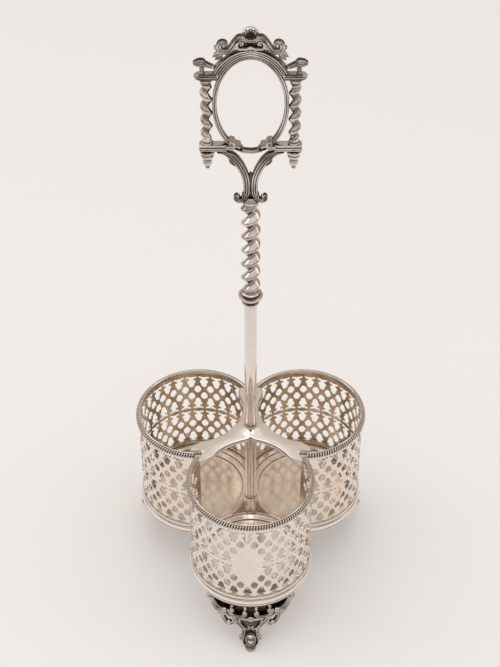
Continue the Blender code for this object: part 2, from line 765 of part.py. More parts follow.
def make_crest_scroll(side, sign):
    """An S from the cartouche down to the arch, ending in an upturned volute."""
    rest = CREST_WIRE_R + GAP
    volute = Vector((16.3 * MM, 0, arch_height(14.5 * MM) + rest + 4.4 * MM))
    points = [
        Vector((9.1 * MM, 0, ARCH_TOP + 4.9 * MM)),
        Vector((11.0 * MM, 0, ARCH_TOP + 2.2 * MM)),
    ]
    for degrees in (215, 260, 310, 360, 410, 460, 505):
        angle = math.radians(degrees)
        r = (4.0 - 1.9 * (degrees - 215) / 290) * MM
        points.append(volute + Vector((r * math.cos(angle), 0, r * math.sin(angle))))
    path = [Vector((sign * p.x, 0, p.z)) for p in smooth_path(points, 3)]
    last = len(path) - 1
    radii = [1.0 - 0.45 * i / last for i in range(last + 1)]
    name = "crest_scroll_" + side
    add_part(name, tube_curve(name, path, CREST_WIRE_R, radii=radii), DARK_SILVER, 0.26)


def make_crest():
    low = ARCH_TOP + GAP
    half = [(6.6 * MM, low), (7.2 * MM, low + 3.6 * MM), (5.0 * MM, low + 5.6 * MM), (2.2 * MM, low + 5.0 * MM)]
    outline = half + [(-x, z) for x, z in reversed(half)]
    upright("crest_cartouche", outline, CREST_DEPTH)
    shell_low = low + 5.6 * MM + GAP
    steps = 16
    fan = [(-0.55 * SHELL_HALF_WIDTH, shell_low), (0.55 * SHELL_HALF_WIDTH, shell_low)]
    for i in range(steps + 1):
        angle = math.radians(-8 + 196 * i / steps)
        z = shell_low + 0.3 * SHELL_HEIGHT + 0.7 * SHELL_HEIGHT * math.sin(angle)
        fan.append((SHELL_HALF_WIDTH * math.cos(angle), z))
    upright("shell_finial", fan, CREST_DEPTH)


clear_scene()
PARTS = new_collection("cruet_stand")
CUTTERS = new_collection("cutters")
CUTTERS.hide_render = True
AXIS = bpy.data.objects.new("stem_axis", None)
PARTS.objects.link(AXIS)
AXIS.location = (0, AXIS_Y, 0)

make_base()
for well in OUTWARD:
    make_gallery(well)
    make_rim(well)
    make_foot(well)
make_bracket()
make_collar()
make_stem()
make_knop()
make_fixings()
make_twists()
make_yoke()
make_ring()
make_bars_and_columns_trim()
make_crest()
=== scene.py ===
"""Looks of the silver cruet stand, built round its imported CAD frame.

Pierced galleries with gadrooned rims, a stepped base with a fluted boss, a polished tie bracket,
a barley-twist grip, and a cast handle and feet of reeded scrolls. Metres, +Z up.
"""

import math

import bmesh
import bpy
from mathutils import Matrix, Vector


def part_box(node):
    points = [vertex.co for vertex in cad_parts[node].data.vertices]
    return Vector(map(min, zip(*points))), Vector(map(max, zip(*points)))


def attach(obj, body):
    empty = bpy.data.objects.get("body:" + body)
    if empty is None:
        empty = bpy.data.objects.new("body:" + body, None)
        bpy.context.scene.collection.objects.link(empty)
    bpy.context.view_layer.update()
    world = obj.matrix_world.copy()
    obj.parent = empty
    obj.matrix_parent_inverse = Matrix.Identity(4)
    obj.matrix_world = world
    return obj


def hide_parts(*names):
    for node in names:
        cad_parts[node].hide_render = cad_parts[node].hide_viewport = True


MM = 0.001
TAU = 2 * math.pi
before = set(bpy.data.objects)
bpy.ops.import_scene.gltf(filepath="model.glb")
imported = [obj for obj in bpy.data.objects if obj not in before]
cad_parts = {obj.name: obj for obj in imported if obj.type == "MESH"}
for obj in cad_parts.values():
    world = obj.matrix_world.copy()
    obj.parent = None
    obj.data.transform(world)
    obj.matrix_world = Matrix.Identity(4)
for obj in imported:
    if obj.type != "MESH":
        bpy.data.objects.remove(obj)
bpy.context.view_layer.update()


# Places taken from the frame


def low(node):
    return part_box(node)[0]


def high(node):
    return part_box(node)[1]


def half_width(node):
    return (high(node).x - low(node).x) / 2


AXIS_Y = (low("stem_tube").y + high("stem_tube").y) / 2
STEM_R = half_width("stem_tube")
GALLERY_R = half_width("gallery_front")
WELL_OFFSET = AXIS_Y - (low("gallery_front").y + GALLERY_R)
HALF_SPACING = WELL_OFFSET * math.sin(math.radians(60))
OUTWARD = {"front": -90.0, "right": 30.0, "left": 150.0}  # degrees about +Z
BASE_LOW = low("base_plate").z
GALLERY_LOW = low("gallery_front").z
GALLERY_TOP = high("gallery_front").z
LEDGE_Z = GALLERY_LOW - 0.3 * MM
BOSS_TOP = high("base_plate").z
RIM_LOW = low("rim_front").z
BASE_R = AXIS_Y - WELL_OFFSET - low("base_plate").y

# Sizes of the base, galleries and rims

SEAM_GAP = 0.15 * MM  # half the gap where two wells meet
WELL_R = 39.0 * MM
FLOOR_R = 34.0 * MM
BOSS_TIP = 22.4 * MM
WELL_STEPS = 240  # points round a well
PITCHES = 28  # holes of a row round a whole circle
COLUMNS = 19
FRONT_PHASE = -0.23  # how far the front gallery is turned, in pitches
SHEET = 0.9 * MM
STRIP = 2.4 * MM  # longest flat stretch in a curved gallery
LOBES = 96  # gadroons of a rim
LOBE_STEPS = 7
LOBE_AROUND = 10

# Sizes of the bracket, stem and fixings

BRACKET_CONCAVE_R = 34.95 * MM
BRACKET_REACH = 41.0 * MM
BRACKET_FORK = 6.0 * MM
BRACKET_TIP_HALF = 8.5 * MM
BRACKET_SHEET = 0.8 * MM
STEM_WALL = 0.85 * MM
KNOP_BORE = 3.3 * MM
THREAD_PITCH = 1.27 * MM
THREAD_DEPTH = 0.55 * MM
THREAD_LENGTH = 17.0 * MM
WASHER_BORE = 3.5 * MM
NUT_BORE = 3.25 * MM
NUT_FLATS = 12.7 * MM

# Sizes of the handle and feet; the feet's are in mm

TWIST_R = 6.6 * MM
TWIST_THROW = 1.9 * MM
TWIST_PITCH = 11.6 * MM
PILLAR_R = 3.95 * MM
PILLAR_THROW = 0.95 * MM
PILLAR_TURNS = 4.2
PILLAR_FOOT = 3.0 * MM
TOE_OUT = 50.15
TOE_PAD = 4.2
APRON_HALF = 32.0
APRON_TOP = BASE_LOW / MM - 0.2

# Stage and camera

FLOOR_HALF = 6.0
FLOOR_GLOW = 0.20
FLOOR_LIGHT = (0.79, 0.775, 0.77)
FLOOR_WARM = (0.79, 0.77, 0.76)
ROOM_STRENGTH = 0.90
BACK_WALL_SHARE = 0.85
BACK_WALL = (0.70, 0.635, 0.575)
BACKDROP = (0.86, 0.84, 0.825)
CAMERA_BACK = 743.04 * MM  # from the stem's axis
CAMERA_HEIGHT = 909.1 * MM
CAMERA_PITCH = 42.6535  # degrees below level
LENS = 77.209
SHIFT_X = -0.0009
SHIFT_Y = 0.0173


def well_centre(side):
    angle = math.radians(OUTWARD[side])
    return Vector((WELL_OFFSET * math.cos(angle), AXIS_Y + WELL_OFFSET * math.sin(angle), 0))


def on_axis(z=0.0, x=0.0):
    return Matrix.Translation((x, AXIS_Y, z))


def round_well(centre, radius, angle, z):
    """A place at a radius and an angle about a well's axis."""
    return Vector((centre.x + radius * math.cos(angle), centre.y + radius * math.sin(angle), z))


def add_object(name, data):
    obj = bpy.data.objects.new(name, data)
    bpy.context.scene.collection.objects.link(obj)
    return obj


def reach_angle(radius):
    """Degrees from outward to where a circle about a well stops short of its neighbour's."""
    share = min(1.0, (HALF_SPACING - SEAM_GAP) / radius)
    return 150.0 - math.degrees(math.acos(share))


# Materials


class Nodes:
    """Short calls for building one node tree."""

    def __init__(self, tree):
        self.tree = tree

    def add(self, kind, **settings):
        node = self.tree.nodes.new(kind)
        for key, value in settings.items():
            setattr(node, key, value)
        return node

    def link(self, source, target):
        self.tree.links.new(source, target)

    def noise(self, coords, scale, detail=3.0, roughness=0.55):
        node = self.add("ShaderNodeTexNoise")
        node.inputs["Scale"].default_value = scale
        node.inputs["Detail"].default_value = detail
        node.inputs["Roughness"].default_value = roughness
        self.link(coords, node.inputs["Vector"])
        return node.outputs["Fac"]

    def ramp(self, fac, stops):
        node = self.add("ShaderNodeValToRGB")
        elements = node.color_ramp.elements
        while len(elements) < len(stops):
            elements.new(0.5)
        for element, (place, value) in zip(elements, stops):
            element.position = place
            element.color = (value, value, value, 1) if isinstance(value, (int, float)) else (*value, 1)
        self.link(fac, node.inputs["Fac"])
        return node.outputs["Color"]

    def math(self, operation, a, b=0.0, clamp=False):
        node = self.add("ShaderNodeMath", operation=operation, use_clamp=clamp)
        for value, socket in ((a, node.inputs[0]), (b, node.inputs[1])):
            if isinstance(value, (int, float)):
                socket.default_value = value
            else:
                self.link(value, socket)
        return node.outputs[0]


def colour_mix(n, fac, a, b):
    """A colour between a and b; each may be a tuple or a socket."""
    node = n.add("ShaderNodeMixRGB")
    for value, socket in ((fac, node.inputs[0]), (a, node.inputs[1]), (b, node.inputs[2])):
        if isinstance(value, tuple):
            socket.default_value = (*value, 1)
        elif isinstance(value, (int, float)):
            socket.default_value = value
        else:
            n.link(value, socket)
    return node.outputs[0]


def new_material(name):
    """A material, its node helper, its main shader and the object's coordinates."""
    material = bpy.data.materials.new(name)
    material.use_nodes = True
    n = Nodes(material.node_tree)
    shader = material.node_tree.nodes["Principled BSDF"]
    return material, n, shader, n.add("ShaderNodeTexCoord").outputs["Object"]


def add_bump(n, shader, height, strength, distance):
    bump = n.add("ShaderNodeBump")
    bump.inputs["Strength"].default_value = strength
    bump.inputs["Distance"].default_value = distance
    n.link(height, bump.inputs["Height"])
    n.link(bump.outputs["Normal"], shader.inputs["Normal"])


def silver(name, bright, toned, recess, rough=0.16, crevice=3.0 * MM, tone=0.5, grain=0.06):
    """Handled silver: toning in soft clouds, fine wear in the gloss, and a dark colour in the crevices that
    is partly tarnish and partly painted shade, from the points' recess marks and an occlusion node.
    """
    material, n, shader, coords = new_material(name)
    cloud = n.ramp(n.noise(coords, 90.0, 4.0), [(0.35, 0.0), (0.7, 1.0)])
    base = colour_mix(n, n.math("MULTIPLY", cloud, tone), bright, toned)
    deep = n.add("ShaderNodeAttribute", attribute_name="recess").outputs["Fac"]
    # painted shade: the occlusion node darkens corners and crevices toward the recess colour, on top of the
    # recess marks
    hollow = n.add("ShaderNodeAmbientOcclusion", samples=6)
    hollow.inputs["Distance"].default_value = crevice
    shut = n.ramp(hollow.outputs["AO"], [(0.3, 1.0), (0.85, 0.0)])
    speck = n.ramp(n.noise(coords, 700.0, 3.0), [(0.3, 0.75), (0.65, 1.1)])
    oxide_and_shade = n.math("MULTIPLY", n.math("MAXIMUM", deep, shut), speck, clamp=True)
    n.link(colour_mix(n, oxide_and_shade, base, recess), shader.inputs["Base Color"])
    wear = n.ramp(n.noise(coords, 260.0, 5.0), [(0.3, rough * 0.7), (0.75, rough * 1.5)])
    n.link(n.math("ADD", wear, n.math("MULTIPLY", oxide_and_shade, 0.3)), shader.inputs["Roughness"])
    shader.inputs["Metallic"].default_value = 1.0
    fine = n.math("MULTIPLY", n.noise(coords, 1400.0, 4.0), 0.35)
    add_bump(n, shader, n.math("ADD", n.noise(coords, 120.0, 2.0), fine), grain, 0.3 * MM)
    return material


def plain_metal(name, light, dark, rough):
    material, n, shader, coords = new_material(name)
    fac = n.ramp(n.noise(coords, 400.0, 6.0), [(0.3, 0.0), (0.7, 1.0)])
    n.link(colour_mix(n, fac, light, dark), shader.inputs["Base Color"])
    wear = n.ramp(n.noise(coords, 900.0, 4.0), [(0.3, rough * 0.7), (0.7, rough * 1.4)])
    n.link(wear, shader.inputs["Roughness"])
    shader.inputs["Metallic"].default_value = 1.0
    add_bump(n, shader, n.noise(coords, 1800.0, 4.0), 0.12, 0.2 * MM)
    return material


POLISHED = silver("polished_silver", (0.88, 0.81, 0.755), (0.79, 0.69, 0.60), (0.09, 0.055, 0.04), 0.12,
                  1.4 * MM)
OUTER = silver("gallery_outside", (0.87, 0.79, 0.73), (0.76, 0.66, 0.58), (0.24, 0.165, 0.12), 0.22, 1.2 * MM)
INNER = silver("gallery_inside", (0.66, 0.54, 0.40), (0.40, 0.28, 0.17), (0.13, 0.08, 0.05), 0.2,
               1.6 * MM, 0.9)
CAST = silver("cast_silver", (0.80, 0.73, 0.68), (0.36, 0.285, 0.24), (0.045, 0.025, 0.018), 0.11,
              5.0 * MM, 0.85, 0.14)
STEEL = plain_metal("rod_steel", (0.50, 0.49, 0.48), (0.30, 0.29, 0.28), 0.38)
BRASS = plain_metal("fixing_brass", (0.78, 0.60, 0.33), (0.48, 0.34, 0.17), 0.34)


# Drawing meshes


class Piece:
    """A mesh being drawn. Each point carries how deep it lies in the chasing, which darkens it as tarnish and
    as painted shade.
    """

    def __init__(self):
        self.bm = bmesh.new()
        self.recess = self.bm.verts.layers.float.new("recess")

    def point(self, place, recess=0.0):
        vert = self.bm.verts.new(place)
        vert[self.recess] = recess
        return vert

    def skin(self, rows, around=True, caps=True, loop=False):
        """Faces between rows of equally many points."""
        count = len(rows[0])
        last = count if around else count - 1
        pairs = list(zip(rows, rows[1:]))
        if loop:
            pairs.append((rows[-1], rows[0]))
        for lower, upper in pairs:
            for i in range(last):
                j = (i + 1) % count
                corners = []
                for vert in (lower[i], lower[j], upper[j], upper[i]):
                    if vert not in corners:
                        corners.append(vert)
                if len(corners) > 2:
                    self.bm.faces.new(corners)
        if caps and not loop:
            for row in (rows[0][::-1], rows[-1]):
                if len(set(row)) > 2:
                    self.bm.faces.new(row)

    def sweep(self, path, section, facing, sizes=None, closed=False):
        """Draws a section of (side, front, recess) along a path; facing is the front at each point."""
        rows = []
        last = len(path) - 1
        for i, place in enumerate(path):
            before = path[i - 1] if i or closed else place
            after = path[(i + 1) % len(path)] if i < last or closed else place
            along = (after - before).normalized()
            out = facing(place) if callable(facing) else facing
            side = along.cross(out).normalized()
            front = side.cross(along).normalized()
            size = sizes[i] if sizes else (1.0, 1.0)
            rows.append([
                self.point(place + side * s * size[0] + front * f * size[1], recess) for s, f,
                recess in section
            ])
        self.skin(rows, loop=closed)

    def lathe(self, profile, matrix=None, segments=48):
        """Turns (radius, height, recess) points about local Z; a radius of 0 closes the shape."""
        matrix = matrix or Matrix.Identity(4)
        rows = []
        for r, z, recess in profile:
            if r < 1e-7:
                rows.append([self.point(matrix @ Vector((0, 0, z)), recess)] * segments)
                continue
            angles = [TAU * i / segments for i in range(segments)]
            rows.append([self.point(matrix @ Vector((r * math.cos(a), r * math.sin(a), z)),
                                    recess) for a in angles])
        closed = profile[0][0] > 1e-7 and profile[-1][0] > 1e-7
        self.skin(rows, caps=False, loop=closed)

    def ball(self, place, radii, matrix=None, rings=8, segments=16):
        matrix = Matrix.Translation(place) @ (matrix or Matrix.Identity(4)) @ Matrix.Diagonal((*radii, 1))
        profile = []
        for i in range(rings + 1):
            angle = math.pi * i / rings
            profile.append((math.sin(angle) if 0 < i < rings else 0.0, math.cos(angle), 0.0))
        self.lathe(profile, matrix, segments)

    def finish(self, name, materials, nodes, body="stand", degrees=38):
        bm = self.bm
        bmesh.ops.recalc_face_normals(bm, faces=bm.faces)
        mesh = bpy.data.meshes.new(name)
        bm.to_mesh(mesh)
        bm.free()
        mesh.shade_smooth()
        mesh.set_sharp_from_angle(angle=math.radians(degrees))
        for material in materials:
            mesh.materials.append(material)
        obj = add_object(name, mesh)
        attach(obj, body)
        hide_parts(*nodes)
        return obj


def catmull(points, per_span=5):
    """A smooth curve through the points."""
    vectors = [Vector(p) for p in points]
    ends = [2 * vectors[0] - vectors[1]] + vectors + [2 * vectors[-1] - vectors[-2]]
    path = []
    for i in range(1, len(ends) - 2):
        a, b, c, d = ends[i - 1 : i + 3]
        for step in range(per_span):
            t = step / per_span
            square = (2 * a - 5 * b + 4 * c - d) * t**2
            cube = (3 * b - a - 3 * c + d) * t**3
            path.append(0.5 * (2 * b + (c - a) * t + square + cube))
    path.append(vectors[-1])
    return path


def curl(cx, cz, start_r, end_r, start, end, steps=14):
    """A spiral of (x, z) points in mm, from one angle in degrees to another."""
    points = []
    for i in range(steps + 1):
        t = i / steps
        angle = math.radians(start + (end - start) * t)
        r = start_r + (end_r - start_r) * t
        points.append((cx + r * math.cos(angle), cz + r * math.sin(angle)))
    return points


def mirrored(points, sign):
    """(x, z) points, on the left for a sign of -1."""
    return [(sign * x, z) for x, z in points]


def in_mm(profile, way=1):
    """A lathe's profile written in mm; a way of -1 turns it upside down."""
    return [(r * MM, way * z * MM, recess) for r, z, recess in profile[::way]]


def spread_sizes(sizes, count, per_span):
    """Sizes given at a curve's own points, spread over the steps between them."""
    if not sizes:
        return None
    spread = []
    for i in range(count):
        place = i / per_span
        k = min(int(place), len(sizes) - 2)
        t = min(1.0, place - k)
        spread.append(tuple(a + (b - a) * t for a, b in zip(sizes[k], sizes[k + 1])))
    return spread


def level_ring(piece, r, z, count, recess=0.0):
    """A level circle of points about the stem's axis."""
    angles = [TAU * i / count for i in range(count)]
    return [piece.point((r * math.cos(a), AXIS_Y + r * math.sin(a), z), recess) for a in angles]


def looking(front):
    """A rotation that turns Z to the front and keeps X level."""
    side = Vector((0, 0, 1)).cross(front).normalized()
    up = front.cross(side).normalized()
    return Matrix((side, up, front)).transposed().to_4x4()


def reeded(width, depth, reeds, relief, per=4, dark=0.95, fade=1.25):
    """A closed section with rounded reeds on its front and back; sizes in mm."""
    front = []
    for i in range(reeds * per + 1):
        t = i / (reeds * per)
        wave = abs(math.sin(math.pi * reeds * t))
        front.append((width * (t - 0.5) * MM, (depth / 2 - relief * (1 - wave)) * MM,
                      dark * (1 - wave) ** fade))
    return front + [(s, -f, g) for s, f, g in reversed(front)]


def bead(width, depth, sides=10):
    """An oval section; sizes in mm."""
    points = []
    for i in range(sides):
        angle = TAU * i / sides
        points.append((width / 2 * math.cos(angle) * MM, depth / 2 * math.sin(angle) * MM, 0.0))
    return points


# Base


def make_base():
    piece = Piece()
    height = (LEDGE_Z - BASE_LOW) / MM
    well_r = WELL_R / MM
    floor_r = FLOOR_R / MM
    r = BASE_R / MM
    # the third figure of each point is its recess mark: grooves darken as tarnish and painted shade, the
    # underside as painted shade
    band = [
        (0.0, 0.0, 0.3), (r - 6.0, 0.0, 0.3), (r - 5.4, 0.6, 0.6), (r - 1.2, 0.6, 0.6), (r - 0.8, 0.0, 0.1),
        (r - 0.15, 0.0, 0.0), (r, 0.25, 0.0), (r, 1.2, 0.0), (r - 0.15, 1.45, 0.2), (r - 0.55, 1.6, 0.9),
        (r - 0.2, 1.85, 0.2), (r - 0.1, 2.2, 0.0), (r - 0.25, 3.0, 0.0), (r - 0.6, 3.9, 0.0),
        (r - 0.75, 4.3, 0.0), (r - 1.1, 4.5, 0.7), (r - 0.8, 4.75, 0.1), (r - 0.75, 5.1, 0.0),
        (r - 0.95, 5.45, 0.1), (r - 1.4, height - 0.05, 0.8), (r - 3.2, height, 0.35),
        (r - 4.5, height, 0.0), (well_r + 0.7, height, 0.0), (well_r + 0.25, height - 0.1, 0.0),
        (well_r, height - 0.4, 0.0), (well_r - 0.15, height - 1.2, 0.12),
        (well_r - 0.6, height - 1.4, 0.05), (floor_r + 1.0, height - 1.45, 0.0),
        (floor_r + 0.45, height - 1.6, 0.0), (floor_r + 0.2, height - 2.0, 0.0),
        (floor_r, height - 2.8, 0.12), (floor_r - 0.6, height - 3.0, 0.05),
        (floor_r - 3.0, height - 3.0, 0.0), (0.6 * floor_r, height - 3.0, 0.0),
        (0.25 * floor_r, height - 3.0, 0.0), (0.0, height - 3.0, 0.0),
    ]
    for side in OUTWARD:
        centre = well_centre(side)
        turn = math.radians(OUTWARD[side])
        rows = []
        clipped = []
        for radius, z, recess in band:
            row = []
            cut = []
            for i in range(WELL_STEPS):
                angle = TAU * i / WELL_STEPS - math.pi
                toward = math.cos(abs(angle) - math.radians(150))
                limit = HALF_SPACING / toward if toward > 0 else 1.0
                reach = min(radius * MM, limit)
                cut.append(limit < radius * MM)
                deep = recess
                # painted shade on the walls of the well's steps, darkest on its outward side under the
                # gallery
                if floor_r + 0.1 < radius < well_r + 0.3:
                    deep = max(recess, 0.75 * math.sqrt(max(0.0, math.cos(angle))))
                place = round_well(centre, reach, angle + turn, BASE_LOW + z * MM)
                row.append(piece.point(place, deep if limit > radius * MM else 0.5 * deep))
            rows.append(row)
            clipped.append(cut)
        for k in range(len(rows) - 1):
            for i in range(WELL_STEPS):
                j = (i + 1) % WELL_STEPS
                if clipped[k][i] and clipped[k][j] and clipped[k + 1][i] and clipped[k + 1][j]:
                    continue
                piece.bm.faces.new((rows[k][i], rows[k][j], rows[k + 1][j], rows[k + 1][i]))
    bmesh.ops.remove_doubles(piece.bm, verts=piece.bm.verts, dist=0.004 * MM)
    loose = [v for v in piece.bm.verts if not v.link_faces]
    bmesh.ops.delete(piece.bm, geom=loose, context="VERTS")
    rows = []
    levels = 22
    for level in range(levels + 1):
        rise = level / levels
        row = []
        for i in range(180):
            angle = TAU * i / 180
            radius = boss_radius(angle, rise)
            z = LEDGE_Z - 1.0 * MM + (BOSS_TOP - LEDGE_Z + 1.0 * MM) * rise
            row.append(piece.point((radius * math.cos(angle), AXIS_Y + radius * math.sin(angle), z)))
        rows.append(row)
    piece.skin(rows)
    piece.finish("silver_base", [POLISHED], ["base_plate"], degrees=30)


def boss_radius(angle, rise):
    """The boss's outline at one height: sides hollowed round the wells, round at the top."""
    nearest = min(
        abs((angle - math.radians(out) + math.pi) % TAU - math.pi) for out in OUTWARD.values()
    )
    inside = (WELL_R + 0.5 * MM) ** 2 - (WELL_OFFSET * math.sin(nearest)) ** 2
    reach = BOSS_TIP
    if inside > 0 and math.cos(nearest) > 0:
        reach = min(BOSS_TIP, WELL_OFFSET * math.cos(nearest) - math.sqrt(inside))
    top = STEM_R + 1.1 * MM
    share = (1 - rise) ** 2.6
    ridge = 1 - abs(math.cos(1.5 * (angle + math.radians(90))))
    return share * reach + (1 - share) * top + 0.9 * MM * (1 - ridge) ** 2 * rise * (1 - rise)


# Galleries


def tree_hole():
    """Right half of a fir-shaped piercing, as (across, up from the middle line) in mm."""
    return [
        (0.0, 1.9), (1.6, 1.65), (3.2, 1.25), (4.15, 1.2), (4.3, 2.3), (3.7, 3.15), (2.7, 3.6), (1.75, 3.95),
        (1.35, 4.6), (1.75, 5.15), (2.7, 5.4), (3.3, 6.1), (3.3, 7.3), (2.8, 8.4), (2.35, 9.2), (2.15, 10.4),
        (1.8, 11.9), (1.0, 12.9), (0.0, 13.2),
    ]


def drop_hole():
    """Right half of an eight-sided piercing with pinched sides, about its own middle."""
    return [(0.0, -3.9), (1.2, -3.5), (1.75, -2.4), (2.75, -1.6), (2.8, -0.2), (2.5, 1.4), (1.9, 2.5),
            (1.1, 3.6), (0.0, 4.0)]


def hole_outline(half, across, middle, flip):
    right = [(across + x * MM, middle + flip * z * MM) for x, z in half]
    left = [(across - x * MM, middle + flip * z * MM) for x, z in half[1:-1]]
    return right + left[::-1]


def gallery_holes(phase, bare):
    """Outlines of every piercing; bare tells which to leave out for the cartouche."""
    pitch = TAU * GALLERY_R / PITCHES
    middle = (GALLERY_LOW + GALLERY_TOP) / 2
    reach = math.radians(reach_angle(GALLERY_R)) * GALLERY_R - 1.2 * MM
    holes = []
    tree = tree_hole()
    outer_tree = [(x, 38.0 - z) for x, z in tree]
    for k in range(-COLUMNS // 2 - 1, COLUMNS // 2 + 3):
        for kind, shift in (("inner", 0.5), ("first", 0.0), ("second", 0.5), ("outer", 0.0)):
            across = (k + shift + phase) * pitch
            for flip in (1, -1):
                if abs(across) + 4.4 * MM > reach or bare(kind, across / pitch):
                    continue
                if kind == "inner":
                    holes.append(hole_outline(tree, across, middle, flip))
                elif kind == "outer":
                    holes.append(hole_outline(outer_tree, across, middle, flip))
                else:
                    up = 15.4 * MM if kind == "first" else 22.7 * MM
                    holes.append(hole_outline(drop_hole(), across, middle + flip * up, flip))
    return holes


def make_gallery(side, phase, bare):
    piece = Piece()
    bm = piece.bm
    reach = math.radians(reach_angle(GALLERY_R)) * GALLERY_R
    outline = [(-reach, GALLERY_LOW), (reach, GALLERY_LOW), (reach, GALLERY_TOP), (-reach, GALLERY_TOP)]
    for loop in [outline] + gallery_holes(phase, bare):
        verts = [piece.point((u, 0, z)) for u, z in loop]
        for a, b in zip(verts, verts[1:] + verts[:1]):
            bm.edges.new((a, b))
    bmesh.ops.triangle_fill(bm, use_beauty=True, use_dissolve=False, edges=bm.edges[:])
    strips = int(2 * reach / STRIP)
    cuts = [((-reach + 2 * reach * i / strips, 0, 0), (1, 0, 0)) for i in range(1, strips)]
    cuts += [((0, 0, GALLERY_LOW + up * MM), (0, 0, 1)) for up in (0.6, 1.0)]
    for place, normal in cuts:
        whole = bm.verts[:] + bm.edges[:] + bm.faces[:]
        bmesh.ops.bisect_plane(bm, geom=whole, plane_co=place, plane_no=normal)
    bmesh.ops.recalc_face_normals(bm, faces=bm.faces)
    bmesh.ops.solidify(bm, geom=bm.faces[:], thickness=SHEET)
    centre = well_centre(side)
    turn = math.radians(OUTWARD[side])
    front = min(v.co.y for v in bm.verts)
    for vert in bm.verts:
        radius = GALLERY_R - (vert.co.y - front)
        vert.co = round_well(centre, radius, vert.co.x / GALLERY_R + turn, vert.co.z)
    bmesh.ops.recalc_face_normals(bm, faces=bm.faces)
    for face in bm.faces:
        outward = face.calc_center_median() - centre
        outward.z = 0
        face.material_index = 1 if face.normal.dot(outward.normalized()) < -0.6 else 0
    add_foot_band(piece, side)
    piece.finish("pierced_" + side, [OUTER, INNER], ["gallery_" + side])


def add_foot_band(piece, side):
    """A convex strip soldered round the gallery's foot."""
    centre = well_centre(side)
    turn = math.radians(OUTWARD[side])
    half = math.radians(reach_angle(GALLERY_R + 0.9 * MM))
    section = [
        (-0.2, 0.15, 0.8), (0.55, 0.2, 0.1), (0.85, 0.9, 0.0), (0.85, 1.9, 0.0), (0.6, 2.8, 0.0),
        (0.35, 3.1, 0.5), (0.5, 3.35, 0.0), (0.3, 3.6, 0.4), (-0.2, 3.65, 0.6),
    ]
    rows = []
    steps = 150
    for i in range(steps + 1):
        angle = turn - half + 2 * half * i / steps
        rows.append([
            piece.point(round_well(centre, GALLERY_R + out * MM, angle, GALLERY_LOW + up * MM), recess)
            for out, up, recess in section
        ])
    piece.skin(rows)


def make_rim(side):
    """A plain lip inside a rope of slanting gadroons."""
    piece = Piece()
    centre = well_centre(side)
    turn = math.radians(OUTWARD[side])
    half = math.radians(reach_angle(GALLERY_R + 1.9 * MM))
    lip = [
        (-0.9, -0.25, 0.2), (-0.92, 1.9, 0.2), (-1.35, 2.2, 0.5), (-1.6, 2.9, 0.0), (-1.5, 3.7, 0.0),
        (-1.1, 4.0, 0.0), (-0.7, 3.8, 0.0), (-0.55, 3.2, 1.0),
    ]
    steps = LOBES * LOBE_STEPS
    rows = []
    for i in range(steps + 1):
        t = i / steps
        angle = turn - half + 2 * half * t
        row = list(lip)
        for k in range(LOBE_AROUND):
            v = k / (LOBE_AROUND - 1)
            slope = math.radians(112 - 195 * v)
            lobe = abs(math.sin(math.pi * (t * LOBES + 0.7 * v)))
            swell = 0.28 + 0.72 * math.sqrt(lobe)
            row.append((0.05 + 1.9 * math.cos(slope) * swell, 1.5 + 2.25 * math.sin(slope) * swell,
                        1.0 - lobe**2.4))
        rows.append([
            piece.point(round_well(centre, GALLERY_R + out * MM, angle, RIM_LOW + up * MM), recess)
            for out, up, recess in row
        ])
    piece.skin(rows)
    band_top = RIM_LOW + 1.95 * MM
    for face in piece.bm.faces:
        spot = face.calc_center_median()
        inside = math.hypot(spot.x - centre.x, spot.y - centre.y) < GALLERY_R - 0.85 * MM
        face.material_index = 1 if inside and spot.z < band_top else 0
    piece.finish("gadroon_" + side, [POLISHED, INNER], ["rim_" + side], degrees=60)


# Tie bracket


def bracket_half(along):
    middle = WELL_OFFSET * math.cos(math.radians(60))
    room = BRACKET_CONCAVE_R**2 - (along - middle) ** 2
    side = HALF_SPACING - math.sqrt(max(room, 0))
    return max(0.0, min(along * math.tan(math.radians(60)), side, BRACKET_TIP_HALF))


def outer_edge(bm):
    """The vertices round the outside of an open sheet, in order, counter-clockwise from above."""
    rim = {edge for edge in bm.edges if len(edge.link_faces) == 1}
    start = max((v for edge in rim for v in edge.verts), key=lambda v: math.hypot(v.co.x, v.co.y - AXIS_Y))
    ring = [start]
    last = None
    while True:
        edge = next(e for e in ring[-1].link_edges if e in rim and e != last)
        vert = edge.other_vert(ring[-1])
        if vert == start:
            break
        ring.append(vert)
        last = edge
    area = sum(a.co.x * b.co.y - b.co.x * a.co.y for a, b in zip(ring, ring[1:] + ring[:1]))
    return ring if area > 0 else ring[::-1]


